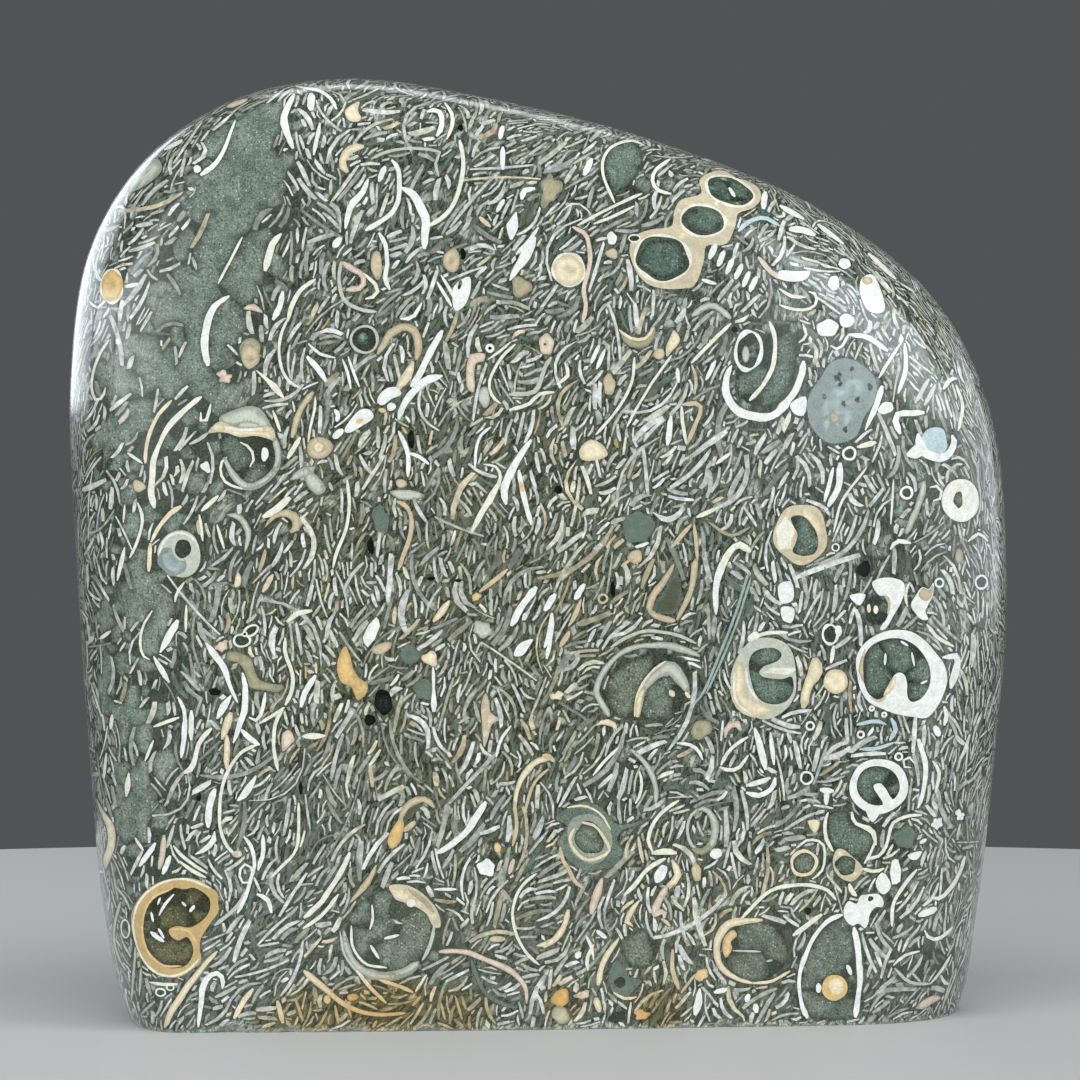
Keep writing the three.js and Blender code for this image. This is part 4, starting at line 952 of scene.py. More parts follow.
arcs("grey", (0.45, 50.7, 8, 52.6, 6.1, 54, 5.6, 56.1, 5.4), (0.35, 53.3, 7.2, 54.6, 5.8))
patch("pink", 54, 2, 55.1, 3.1, 56.8, 3.6, 57.9, 3.1, 56.5, 2.4, 55.1, 1.8)

# Pits where mud fell out, rounded by the polish. The skin is flush over them, and their dark is
# painted shade in the hollows.
PITS = ((-22.1, 46.4, 1.3, 1.75), (-24, 43.9, 0.8, 0.8), (-18.2, 83.4, 0.5, 1.3), (-23.9, 68.4, 0.5, 1.1),
    (2.6, 76.3, 0.6, 0.6), (-45.8, 47.9, 0.9, 0.5), (-48, 33.1, 0.35, 0.6), (-33.7, 34.3, 0.3, 0.9),
    (-11.6, 63.5, 0.5, 0.25), (46.3, 65, 0.9, 1.2), (27.7, 99.1, 0.5, 0.4), (-11.3, 127.6, 0.4, 0.5),
    (-10.9, 109.6, 0.4, 0.8), (38.2, 16.4, 0.5, 0.5), (10.3, 62.2, 0.4, 1.1), (-15.4, 63.8, 0.6, 0.3))
for x, z, rx, rz in PITS:
    disc("black", x, z, rx, rz, wobble=0.1)

# The back, set out on the skin itself: its own snails, arcs, tubes and discs.
side = BACK
disc("dark mud", -38, 84, 6.6, 6.0)
hoop("cream", (0.8, 1.3, 1.8, 2.2, 1.8, 1.0), -38, 84, 6.4, 5.8, 40, 350)
arcs("cream", ((1.6, 1.2, 0.7), -32, 82.6, -35, 83, -38.4, 85))
disc("dark mud", 34, 76, 5.0, 5.4)
hoop("white", (0.6, 0.9, 1.3, 1.8, 1.4, 0.8), 34, 76, 4.8, 5.2, -60, 250)
arcs("white", ((1.2, 1.0, 0.6), 36.6, 71.6, 35.2, 74, 33, 76.6))
disc("green", 6, 44, 6.4, 5.8)
hoop("grey", (0.5, 1.2, 1.6, 1.3, 0.6), 6, 44, 6.2, 5.6, 150, 420)
ring("cream", "dark mud", 8, 45, 2.6, 2.2, 0.8, tilt=30)
BACK_CHAMBERS = ((-8, 100, 4.2, 3.3, 15), (-14.4, 105.6, 3.3, 2.6, 35), (-19.4, 110.4, 2.7, 2.0, 45))
for x, z, rx, rz, tilt in BACK_CHAMBERS:
    disc("cream", x, z, rx + 1.1, rz + 1.1, tilt)
for x, z, rx, rz, tilt in BACK_CHAMBERS:
    ring("ivory", "dark mud", x, z, rx, rz, 0.4, tilt)
for x, z, radius, wall, finish in ((50, 52, 3.2, 0.9, "white"), (22, 118, 2.6, 0.6, "ivory"),
        (-52, 40, 3.0, 0.8, "cream"), (-16, 26, 3.6, 0.7, "grey"), (44, 20, 2.4, 0.6, "white"),
        (20, 90, 2.0, 0.5, "ivory"), (-44, 118, 2.2, 0.5, "ivory"), (58, 80, 2.4, 0.7, "white")):
    ring(finish, "dark mud", x, z, radius, radius * 0.92, wall, tilt=20)
for x, z, radius, start, end, width, finish in ((-10, 66, 9, 20, 130, 0.8, "white"),
        (24, 58, 7, 150, 300, 0.7, "ivory"), (-30, 52, 8, -60, 60, 0.9, "white"),
        (46, 100, 8, 100, 210, 0.8, "white"), (-50, 66, 6, 90, 230, 0.6, "ivory"),
        (14, 18, 9, 60, 170, 0.6, "tan"), (-34, 14, 7, 200, 330, 0.7, "cream"),
        (2, 122, 7, 30, 150, 0.7, "white"), (34, 36, 8, 0, 110, 0.6, "ivory"),
        (-4, 84, 5, 200, 340, 0.9, "white")):
    hoop(finish, width, x, z, radius, radius * 0.8, start, end, tilt=25)
for x, z, radius, finish in ((28, 102, 1.9, "cream"), (-24, 72, 1.6, "tan"), (48, 66, 1.4, "orange"),
        (-44, 26, 1.8, "cream"), (16, 74, 1.5, "ivory"), (-6, 8, 1.4, "orange"), (-60, 90, 1.6, "tan"),
        (38, 8, 1.7, "cream"), (2, 58, 1.2, "olive")):
    disc(finish, x, z, radius)
# Pits like the front's, whose dark is painted shade in the hollows.
for x, z in ((-2, 76), (-36, 100), (26, 46), (10, 104), (-20, 44)):
    disc("black", x, z, 0.7, 1.1, wobble=0.2)

# ---------------------------------------------------------------- the shell hash
# Thousands of splinters of broken shell that the current laid side by side, cut across by the
# polish. They are thrown on the unrolled skin in handfuls, long ones first, and keep nearly clear of
# each other and of the large shells.
CELL = 0.2  # of the board that notes which spots are taken
BOARD_LOW, BOARD_SHAPE = np.array([-95.0, -25.0]), (950, 950)
MAP_SHAPE = (190, 190)  # of the coarse maps, which have a spot every mm
BOARD_MARGIN = 0.2  # mm that splinters keep clear of the skin's border
AIR = 0.08  # mm that each splinter paints beyond its width, so that stone shows between them
ABREAST = 0.11  # mm between the splinters of a bundle
END_WIDTH = 0.68  # of a splinter's, at the ends of all but the smallest
THROWN_OVER = 188  # mm each way, from BOARD_LOW
EDDY_PULL, EDDY_REACH = 2.2, 1.8  # how much stronger it is than the flow, and mm that it fades over
FLOWS = {  # which way the splinters lie: x, z, degrees from the right
    FRONT: [(-50, 125, 50), (-30, 128, 72), (-10, 125, 58), (10, 118, 52), (28, 112, 60),
            (42, 108, -38), (56, 96, -52), (64, 80, -75), (66, 55, 92), (62, 25, 80),
            (-60, 110, 75), (-62, 80, 88), (-60, 45, 95), (-57, 20, 100), (-30, 100, 66),
            (-10, 95, 60), (10, 95, 62), (26, 92, 75), (42, 88, 80), (-45, 78, 60),
            (-22, 75, 62), (0, 72, 58), (20, 72, 70), (40, 68, 96), (55, 66, 85), (-48, 50, 98),
            (-30, 52, 72), (-10, 52, 62), (8, 55, 66), (30, 58, 84), (44, 48, 95), (-45, 30, 62),
            (-28, 30, 72), (-8, 30, 72), (10, 34, 66), (26, 32, 74), (40, 32, 68), (55, 36, 78),
            (-40, 8, 60), (-22, 8, 30), (-4, 8, 60), (14, 10, 72), (30, 22, 66), (50, 10, 70),
            (48, 20, 40)],
    BACK: [(-50, 100, 120), (-20, 110, 118), (20, 115, 126), (50, 100, 100), (-50, 60, 105),
           (-10, 70, 122), (30, 70, 112), (60, 50, 85), (-50, 20, 84), (0, 30, 105), (40, 20, 112)],
}
THIN = {  # where the splinters are fewer: x, z, half width, half height and the share that is left
    FRONT: [(-42.5, 125, 8.5, 10.5, 0.01), (-45.5, 113, 10, 14, 0.0), (-49.5, 99, 9, 13, 0.0),
            (-53, 87, 9, 10, 0.05), (-56, 70, 8, 12, 0.12), (-60, 50, 8, 18, 0.1),
            (-57, 28, 7, 12, 0.14), (-40, 68, 8, 6, 0.45), (-45, 80, 8, 8, 0.3),
            (-63, 84, 6, 10, 0.3), (14, 49, 8, 6, 0.25), (8, 36, 6, 5, 0.4), (-20, 14, 8, 7, 0.12),
            (30, 11, 6, 6, 0.15), (41, 8, 4, 7, 0.2), (56, 7, 6, 5, 0.3), (50, 84, 8, 9, 0.5),
            (52, 70, 9, 8, 0.5), (32, 93, 6, 8, 0.3), (14, 122, 7, 6, 0.35), (36, 78, 7, 6, 0.6),
            (46, 28, 6, 5, 0.35), (-61, 100, 5, 24, 0.5), (50, 12, 5, 8, 0.6)],
    BACK: [(-30, 112, 14, 13, 0.08), (40, 40, 14, 24, 0.25), (-52, 50, 8, 26, 0.3),
           (0, 12, 24, 8, 0.4), (10, 90, 10, 8, 0.3)],
}
TONES = [  # where the front's splinters are duller, and by how much, or whiter, if it is negative
    (-42, 108, 9, 14, 0.5), (-44, 84, 9, 8, 0.4), (-13, 70, 8, 16, 0.55), (-3, 100, 8, 8, 0.4),
    (20, 67, 9, 8, 0.6), (22, 50, 12, 9, 0.3), (2, 46, 7, 10, 0.4), (-42, 38, 7, 10, 0.45),
    (-2, 10, 11, 11, 0.35), (32, 99, 8, 9, -0.8), (14, 118, 7, 6, -0.8), (37, 80, 6, 8, -0.6),
    (0, 76, 6, 6, -0.6), (-50, 28, 6, 8, -0.7), (21, 16, 11, 12, -0.9), (45, 14, 7, 9, -0.4),
    (63, 55, 6, 25, -0.5),
]
GLOW = [(-14, 60, 34, 40, 0.95), (8, 14, 40, 18, 0.75)]  # where stone and splinters are warmer
RUST = [(-32, 3, 6, 4, 0.8), (-22, 3.5, 8, 4.2, 1.0), (-12, 2.5, 5, 4, 0.7), (17, 3, 4, 3.5, 0.8),
        (-37, 1.5, 4, 3, 0.5), (3, 3.5, 3, 3, 0.6)]  # where iron has stained the foot brown

# The most of them, shortest, longest and usual width in mm, bend, corners, spread of direction in
# degrees, and how many lie in a bundle.
SPLINTERS = {
    FRONT: [(230, 6.0, 12.0, 0.48, 0.13, 12, 30, 1), (1900, 3.0, 6.2, 0.47, 0.08, 8, 18, 4),
            (3800, 1.7, 3.4, 0.42, 0.06, 6, 24, 4), (4400, 0.8, 1.8, 0.36, 0.0, 4, 40, 3)],
    BACK: [(90, 6.0, 13.0, 0.40, 0.15, 12, 34, 1), (800, 3.0, 6.2, 0.46, 0.07, 6, 18, 4),
           (2000, 1.8, 3.6, 0.46, 0.06, 4, 24, 4), (1800, 0.8, 2.0, 0.42, 0.0, 4, 40, 3)],
}
HANDFULS, HANDFUL = 260, 1800  # how often splinters are thrown, and how many at a time
OVERLAP = 0.10  # share of a splinter that may lie over or under others
BLENDS = [  # finish, share in cool stone, share in warm stone
    ("white", 0.64, 0.40), ("ivory", 0.20, 0.32), ("grey", 0.08, 0.08), ("green", 0.05, 0.05),
    ("cream", 0.02, 0.07), ("tan", 0.01, 0.045), ("orange", 0.0, 0.01), ("brown", 0.0, 0.015),
]
DULL = np.array([0.120, 0.137, 0.110])  # stone seen over a splinter that lies just under the polish


def field(spots, places, value):
    """A value spread from places by inverse fourth powers of the distance plus 2 mm."""
    weight = (np.linalg.norm(spots[..., None, :] - places[:, :2], axis=-1) + 2.0) ** -4
    return (weight * value).sum(-1) / weight.sum(-1)


def flow(side, spots):
    """Lie of the splinters in degrees: half the mean of twice the near angles, and along the walls
    of the eddies, whose pull is EDDY_PULL exp(-(d / EDDY_REACH)^2) at the distance d from them."""
    places = np.array(FLOWS[side], float)
    double = np.radians(2 * places[:, 2])
    u, v = field(spots, places, np.cos(double)), field(spots, places, np.sin(double))
    for x, z, radius in eddies[side]:
        dx, dz = spots[..., 0] - x, spots[..., 1] - z
        tangent = 2 * (np.arctan2(dz, dx) + math.pi / 2)
        gap = np.maximum(np.hypot(dx, dz) - radius, 0)
        pull = EDDY_PULL * np.exp(-((gap / EDDY_REACH) ** 2))
        u, v = u + pull * np.cos(tangent), v + pull * np.sin(tangent)
    return np.degrees(np.arctan2(v, u)) / 2


def soft_spots(spots, places):
    """For each place, how far the spots are inside it, exp(-d^4) of the distance in half sizes, and
    the place's own value."""
    places = np.asarray(places, float)
    dx = (spots[..., None, 0] - places[:, 0]) / places[:, 2]
    dz = (spots[..., None, 1] - places[:, 1]) / places[:, 3]
    return np.exp(-((dx**2 + dz**2) ** 2)), places[:, 4]


def plenty(side, spots):
    """Share of the splinters that is left: the product of what each thin place leaves."""
    inside, left = soft_spots(spots, THIN[side])
    return np.prod(1 - inside * (1 - left), axis=-1)


def warmth(_, spots):
    """How warm the stone is: the most that any glowing place gives. Both faces share the places."""
    inside, much = soft_spots(spots, GLOW)
    return np.max(inside * much, axis=-1)


def rust(side, spots):
    """Iron stain at the foot of the front, whose places are set out square on: the most of any."""
    places = np.column_stack([laid(np.array(RUST)[:, :2]), np.array(RUST)[:, 2:]])
    inside, much = soft_spots(spots, places)
    return np.max(inside * much, axis=-1) * (side == FRONT)


def cells_of(spots):
    """The board's cells that hold the spots."""
    cell = ((spots - BOARD_LOW) / CELL).astype(int)
    return np.clip(cell[..., 0], 0, BOARD_SHAPE[0] - 1), np.clip(cell[..., 1], 0, BOARD_SHAPE[1] - 1)


def room_at(side, spots):
    """How far in mm the skin's border is from spots, on the line from the middle through them."""
    turn, _ = rolled(spots)
    border = unrolled(turn, out_limit(side, turn))
    way, end = (np.hypot(p[..., 0], p[..., 1] - CENTRE) for p in (spots, border))
    return end - way


def board_of(side, clear=0.16):
    """The board, with the spots taken that are in a large shell or less than clear mm from one, and
    those past the skin's border. Only the cells near an outline are looked at for it."""
    around = 2 * clear
    spots = BOARD_LOW + (np.stack(np.indices(BOARD_SHAPE), -1) + 0.5) * CELL
    board = room_at(side, spots) < BOARD_MARGIN
    for _, outline, _ in marks[side]:
        low, high = cells_of(outline.min(0) - around), cells_of(outline.max(0) + around)
        block = slice(low[0], high[0] + 1), slice(low[1], high[1] + 1)
        near = spots[block].reshape(-1, 2)
        hit = np.zeros(len(near), bool)
        for shift in ((clear, 0), (-clear, 0), (0, clear), (0, -clear)):
            hit |= inside_outline(near + shift, outline)
        board[block] |= hit.reshape(board[block].shape)
    return board


def splinter_shape(t, across, length, width, bend):
    """Along and across places of spots of a splinter: t of the length along it, and across times
    half the width from a middle line that is bowed by bend times the length times 4t(1-t)."""
    u = (t - 0.5) * length[:, None]
    return u, across * width[:, None] / 2 + (bend * length)[:, None] * (4 * t * (1 - t) - 0.7)


def put(middle, angle, u, v):
    """Places u along and v across, turned by the angle and moved to the middle."""
    c, s = np.cos(angle)[:, None], np.sin(angle)[:, None]
    return middle[:, None] + np.stack([u * c - v * s, u * s + v * c], -1)


def drifting(rng, reach):
    """A smooth random map with a spread of 1: noise blurred over reach mm by its Fourier terms."""
    wave = np.fft.fftfreq(MAP_SHAPE[0])
    blur = np.exp(-2 * (math.pi * reach) ** 2 * (wave[:, None] ** 2 + wave**2))
    drift = np.fft.ifft2(np.fft.fft2(rng.normal(size=MAP_SHAPE)) * blur).real
    return drift / drift.std()


def scatter(side, rng):
    """Splinters on one face, in bundles that lie side by side, as (middle, outline) pairs. Of a
    handful, each paints its number on the board, and those stay whose cells are nearly all free and
    still show their own number. An outline runs along one side and back along the other, with its
    ends narrowed, slanted and ragged."""
    board = board_of(side)
    spots = BOARD_LOW + np.stack(np.indices(MAP_SHAPE), -1)
    lie = np.radians(flow(side, spots)) + 0.40 * drifting(rng, 3.0) + 0.16 * drifting(rng, 1.4)
    bare = np.where(drifting(rng, 1.6) < -1.25, 0.3, 1.0)
    open_here = rng.random(MAP_SHAPE) < plenty(side, spots) * bare
    thrown = []
    for count, short, long, wide, bent, corners, spread, bundle in SPLINTERS[side]:
        half = corners // 2
        t_edge = np.tile(np.linspace(0, 1, half), 2)
        t_edge[half:] = t_edge[half:][::-1]
        side_edge = np.repeat([-1.0, 1.0], half)
        at_end = np.abs(2 * t_edge - 1) > 0.9
        if half > 2:
            side_edge = side_edge * np.where(at_end, END_WIDTH, 1.0)
        steps = int(3 + long / CELL / 1.2)  # fine enough to paint every cell along the longest
        t_line = np.tile(np.linspace(0, 1, steps), 3)
        side_line = np.repeat([-1.0, 0.0, 1.0], steps)
        kept = 0
        for _ in range(HANDFULS):
            n = HANDFUL // bundle
            middle = BOARD_LOW + rng.random((n, 2)) * THROWN_OVER
            angle = rng.normal(0, math.radians(spread), n)
            length = short + (long - short) * rng.random(n) ** 1.4
            wider = wide * rng.uniform(0.6, 1.5, n)
            bend = bent * rng.normal(0, 1, n)
            place = np.repeat(np.arange(n), bundle)
            m = n * bundle
            cell = tuple((middle[place] - BOARD_LOW).T.astype(int))
            angle = (angle[place] + lie[cell]) + rng.normal(0, 0.10, m)
            width = wider[place] * rng.uniform(0.6, 1.35, m)
            length = length[place] * rng.uniform(0.6, 1.15, m)
            bend = bend[place] + 0.3 * bent * rng.normal(0, 1, m)
            row = np.tile(np.arange(bundle) - (bundle - 1) / 2, n) * (wider[place] + ABREAST)
            slide = rng.normal(0, 0.5, m)
            c, s = np.cos(angle), np.sin(angle)
            middle = middle[place] + np.stack([slide * c - row * s, slide * s + row * c], -1)
            cell = tuple(np.clip(middle - BOARD_LOW, 0, MAP_SHAPE[0] - 1).T.astype(int))
            u, v = splinter_shape(t_line, side_line, length, width + AIR, bend)
            i, j = cells_of(put(middle, angle, u, v))
            free = (board[i, j].mean(1) <= OVERLAP) & open_here[cell]
            i, j = i[free], j[free]
            number = np.zeros(BOARD_SHAPE, np.int32)
            mine = np.arange(1, len(i) + 1)[:, None]
            number[i, j] = mine
            won = (number[i, j] == mine).mean(1) >= 1 - OVERLAP
            won &= np.cumsum(won) <= count - kept
            board[i[won], j[won]] = True
            chosen = np.flatnonzero(free)[won]
            middle, angle, length, width, bend = (
                values[chosen] for values in (middle, angle, length, width, bend))
            ragged = 1 + 0.18 * rng.uniform(-1, 1, (len(chosen), corners))
            u, v = splinter_shape(t_edge, side_edge * ragged, length, width, bend)
            slant = rng.uniform(-0.45, 0.45, (len(chosen), 1)) * side_edge
            u = u + width[:, None] * at_end * (slant + 0.15 * rng.uniform(-1, 1, u.shape))
            thrown += list(zip(middle, put(middle, angle, u, v)))
            kept += len(chosen)
            if kept >= count:
                break
    return thrown


def splinter_colours(side, middles, rng):
    """A colour for each splinter: a finish's, drawn from the cool or the warm blend by the stone's
    warmth, and dulled by the stone over it. What shows of it is 0.10 + 0.90 u^p for a random u, and
    the power p is larger in dull places."""
    names, cool, warm = zip(*BLENDS)
    share = np.array(cool) + warmth(side, middles)[:, None] * (np.array(warm) - np.array(cool))
    share = np.cumsum(share / share.sum(1, keepdims=True), axis=1)
    pick = (rng.random((len(middles), 1)) > share).sum(1).clip(0, len(names) - 1)
    colour = np.array([FINISHES[name][1] for name in names])[pick]
    inside, much = soft_spots(middles, TONES)
    cell = tuple((middles - BOARD_LOW).astype(int).clip(0, MAP_SHAPE[0] - 1).T)
    duller = (inside * much).sum(-1) * (side == FRONT) + 0.35 * drifting(rng, 3.5)[cell]
    power = 0.50 * np.exp(duller[:, None])
    return DULL + (colour - DULL) * (0.10 + 0.90 * rng.random((len(middles), 1)) ** power)


# ---------------------------------------------------------------- the polished skin as one mesh
# The stone's polish, with the outline of every shell and splinter cut into it. Front and back are
# triangles on the unrolled skin, joined along the rim, and the sawn base closes them below.
FACE_GRID, EDGE_GRID = 3.2, 1.7  # spacing of the plain points on the faces and across the edge
EDGE_WAY, EDGE_POINTS = 20, 250  # mm across the rounded edge, roughly, and points once round it
OPEN_GRID, ROOM = 1.25, 0.8  # spacing of the points on bare stone, and their room to other points
OPEN_REACH = 95  # mm from the middle that bare stone is looked for
PLAIN_SHIFT, OPEN_SHIFT = 0.2, 0.25  # mm that plain points and those on bare stone are moved at most
MARGIN = 0.12  # mm that outlines keep clear of the border
SPILL = 0.01  # mm that a triangle's middle may lie past the outline that it is listed in
WHOLE, SAME_SPOT = 0, 1e-5  # joins all spots into triangles, and mm within which two are one
FLAKE_DEPTH = 0.9  # of a flake, for each mm of its height
FRONT_ROWS, BACK_ROWS, BASE_ROWS = (0, 0.58), (0.60, 0.33), (0.945, 0.05)  # start and share of the map
SAWN = 2  # the third material, after SHELL and STONE


def plain_points(side, rng):
    """Points on rings round the middle, FACE_GRID apart on the face and EDGE_GRID on its edge."""
    rings = []
    for way in np.arange(FACE_GRID, 100, FACE_GRID):  # out past the farthest rim
        turns = np.arange(0, 360, 360 / max(6, round(2 * math.pi * way / FACE_GRID)))
        edge, reach = edge_at(turns)
        rings.append(np.stack([turns, way / (edge - reach)], -1)[way < edge - reach])
    for step in np.arange(0, 1, EDGE_GRID / EDGE_WAY):
        turns = np.linspace(-180, 180, EDGE_POINTS, endpoint=False) + step * 7  # each ring turned on
        rings.append(np.stack([turns, np.full(EDGE_POINTS, 1 + step)], -1))
    turn, out = np.vstack(rings).T
    keep = out < out_limit(side, turn) - 0.05
    return unrolled(turn[keep], out[keep]) + rng.uniform(-PLAIN_SHIFT, PLAIN_SHIFT, (keep.sum(), 2))


def open_points(side, spots, rng):
    """Points on a grid of OPEN_GRID over bare stone and broad shells, farther than ROOM from every
    one of the spots, so that no triangle there is wide."""
    tree = KDTree(len(spots))
    for number, spot in enumerate(spots.tolist()):
        tree.insert((*spot, 0), number)
    tree.balance()
    line = np.arange(-OPEN_REACH, OPEN_REACH, OPEN_GRID)
    grid = np.stack(np.meshgrid(line, line), -1).reshape(-1, 2)
    grid += (0, CENTRE) + rng.uniform(-OPEN_SHIFT, OPEN_SHIFT, grid.shape)
    turn, out = rolled(grid)
    grid = grid[out < out_limit(side, turn) - 0.02]
    return grid[[tree.find((*spot, 0))[2] > ROOM for spot in grid.tolist()]]


def held(side, outlines):
    """The outlines, with the points that are nearer than MARGIN to the skin's border, or past it,
    drawn in to there. An outline that was drawn in starts at its innermost point, because its first
    edge tells the joining which side is inside."""
    spots, cuts = np.vstack(outlines), np.cumsum([len(outline) for outline in outlines])[:-1]
    room = room_at(side, spots) - MARGIN
    way = spots - (0, CENTRE)
    spots = spots + way * np.minimum(room / np.hypot(*way.T), 0)[:, None]
    return [np.roll(outline, -gap.argmax(), axis=0) if gap.min() < 0 else outline
            for outline, gap in zip(np.split(spots, cuts), np.split(room, cuts))]


def middles_seen(side):
    """The points along the middles of the shells, but for those under a later outline."""
    core = np.vstack([middle for _, _, middle in marks[side]])
    level = np.repeat(np.arange(len(marks[side])), [len(middle) for _, _, middle in marks[side]])
    seen = np.ones(len(core), bool)
    for number, (_, outline, _) in enumerate(marks[side]):
        seen &= ~((level < number) & inside_outline(core, outline))
    return core[seen]


def owners_of(middles, listed, outlines):
    """The last outline that each triangle lies in. The joining lists them all, but now and then it
    lets one spill over its own edge: where one is listed for a triangle beyond its reach, it keeps
    only those whose middle is inside it."""
    place, number = np.array([(k, one) for k, owners in enumerate(listed) for one in owners]).T
    spot = middles[place]
    low = np.array([outline.min(0) for outline in outlines])
    high = np.array([outline.max(0) for outline in outlines])
    fits = ((spot > low[number] - SPILL) & (spot < high[number] + SPILL)).all(1)
    for one in np.unique(number[~fits]):
        here = number == one
        fits[here] = inside_outline(spot[here], outlines[one])
    owner = np.zeros(len(middles), int)
    np.maximum.at(owner, place[fits], number[fits])
    return owner


def skin_mesh(side):
    """One face and its half of the edge: the border, splinters, shells and plain points, joined by
    Delaunay triangles. A triangle belongs to the last outline that it lies in."""
    rng = np.random.default_rng(100 + side)
    border_turns = np.concatenate([rim_turns, foot_turns])
    border_out = np.concatenate([np.full(RIM_POINTS, 2.0), out_limit(side, foot_turns)])
    border = unrolled(border_turns, border_out)
    thrown = scatter(side, rng)
    colours = splinter_colours(side, np.array([middle for middle, _ in thrown]), rng)
    shapes = [outline for _, outline in thrown] + [outline for _, outline, _ in marks[side]]
    outlines = [border] + held(side, shapes)
    shells = [FINISHES[finish] for finish, _, _ in marks[side]]
    material = np.array([STONE] + [SHELL] * len(thrown) + [kind for kind, _, _ in shells])
    tint = np.vstack([[(1, 1, 1)], colours, [colour for _, colour, _ in shells]])
    fading = np.full(len(tint), -1.0)  # which marks the splinters
    fading[0] = 0
    fading[1 + len(thrown):] = [fade if len(middle) or kind == STONE else 0
                                for (kind, _, fade), (_, _, middle) in zip(shells, marks[side])]
    core = middles_seen(side)
    taken = np.vstack(outlines + [core, plain_points(side, rng)])
    spots = np.vstack([taken, open_points(side, taken, rng)])
    sizes = np.array([len(outline) for outline in outlines])
    core_from, core_to = sizes.sum(), sizes.sum() + len(core)
    starts = np.concatenate([[0], np.cumsum(sizes)[:-1]])
    faces = [list(range(s, s + n)) for s, n in zip(starts, sizes)]
    flat, _, triangles, from_spot, _, from_outline = delaunay_2d_cdt(
        [Vector(p) for p in spots.tolist()], [], faces, WHOLE, SAME_SPOT, True)
    inside = [k for k, owners in enumerate(from_outline) if 0 in owners]
    triangles = np.array([triangles[k] for k in inside])
    flat = np.array([p[:] for p in flat])
    owner = owners_of(flat[triangles].mean(1), [from_outline[k] for k in inside], outlines)

    turn, out = rolled(flat)
    place = {spot: k for k, spot in enumerate(from_spot) for spot in spot}
    on_border = np.array([place[k] for k in range(len(border))])
    turn[on_border] = border_turns
    out[on_border[:RIM_POINTS]] = 2.0
    out = np.clip(out, 0, 2)
    lit = np.zeros(len(flat))
    lit[[place[k] for k in range(core_from, core_to) if k in place]] = 1
    # Outline points: the stone darkens towards them, a painted shade beside every shell and splinter.
    beside = np.zeros(len(flat))
    beside[[place[k] for k in range(len(border), core_from) if k in place]] = 1
    return {
        "spots": flat, "core": lit, "beside": beside,
        "points": skin(side, turn, out), "normals": skin_normal(side, turn, out),
        "triangles": triangles if side == FRONT else triangles[:, ::-1],
        "material": material[owner], "border": on_border,
        "tint": np.column_stack([tint[owner], fading[owner]]),
    }


def foot_line(side):
    """The base's edge: the skin where the saw met it, drawn in by the depth of the flakes."""
    edge = edge_at(foot_turns)[0]
    share = CENTRE / (-np.sin(np.radians(foot_turns)) * edge)
    line = skin(side, foot_turns, out_of(foot_turns, share))
    line[:, 1] -= side * FLAKE_DEPTH * flaked(side, foot_x)
    line[:, 2] = 0
    return line


halves = {side: skin_mesh(side) for side in (FRONT, BACK)}
front, back = halves[FRONT], halves[BACK]
front_count, back_count = len(front["points"]), len(back["points"])
feet = {side: front_count + back_count + k * FOOT_POINTS + np.arange(FOOT_POINTS)
        for k, side in enumerate((FRONT, BACK))}

# The back half takes over the front half's points along the rim, and both share their normals.
renamed = front_count + np.arange(back_count)
renamed[back["border"][:RIM_POINTS]] = front["border"][:RIM_POINTS]
back_triangles, back_border = renamed[back["triangles"]], renamed[back["border"]]
rim_right, rim_left = front["border"][0], front["border"][RIM_POINTS - 1]
shared = front["normals"][front["border"][:RIM_POINTS]] + back["normals"][back["border"][:RIM_POINTS]]
front["normals"][front["border"][:RIM_POINTS]] = shared / np.linalg.norm(shared, axis=1)[:, None]

points = np.vstack([front["points"], back["points"], foot_line(FRONT), foot_line(BACK)])


def broken_edge(upper, lower, side):
    """The strip of flakes between the skin's lower border and the base, as triangles."""
    top = np.concatenate([[rim_left], upper, [rim_right]])
    low = np.concatenate([[rim_left], lower, [rim_right]])
    quads = np.stack([low[:-1], low[1:], top[1:], top[:-1]], -1)
    strips = np.vstack([quads[:-1, [0, 1, 2]], quads[1:, [0, 2, 3]]])
    return strips if side == FRONT else strips[:, ::-1]


front_edge = broken_edge(front["border"][RIM_POINTS:], feet[FRONT], FRONT)
back_edge = broken_edge(back_border[RIM_POINTS:], feet[BACK], BACK)
foot_ring = np.concatenate([feet[FRONT], [rim_right], feet[BACK][::-1], [rim_left]])
ring_spots = [Vector(p) for p in points[foot_ring, :2].tolist()]
_, _, foot_faces, found_from, _, owners = delaunay_2d_cdt(
    ring_spots, [], [list(range(len(foot_ring)))], WHOLE, SAME_SPOT, True)
foot_faces = np.array([face for face, owner in zip(foot_faces, owners) if owner])
foot_faces = foot_ring[np.array([spots[0] for spots in found_from])[foot_faces]][:, ::-1]

triangles = np.vstack([front["triangles"], back_triangles, front_edge, back_edge, foot_faces])
sawn_count = len(triangles) - len(front["triangles"]) - len(back_triangles)
material_of = np.concatenate([front["material"], back["material"], np.full(sawn_count, SAWN)])
tint_of = np.vstack([front["tint"], back["tint"], np.tile([1.0, 1.0, 1.0, 0.0], (sawn_count, 1))])

# The points that no triangle uses are left out.
used, triangles = np.unique(triangles, return_inverse=True)
triangles = triangles.reshape(-1, 3)
points = points[used]

corners = points[triangles]
flat_normals = np.cross(corners[:, 1] - corners[:, 0], corners[:, 2] - corners[:, 0])
flat_normals /= np.maximum(np.linalg.norm(flat_normals, axis=1, keepdims=True), 1e-12)
spot_normals = np.vstack([front["normals"], back["normals"], np.zeros((2 * FOOT_POINTS, 3))])[used]
corner_normals = spot_normals[triangles]
corner_normals[-sawn_count:] = flat_normals[-sawn_count:, None]

# Fitted to the stone's solid exactly, and put in metres.
low, high = (np.array(corner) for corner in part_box("turritella_stone"))
size = points.max(0) - points.min(0)
points = low + (points - points.min(0)) / size * (high - low)

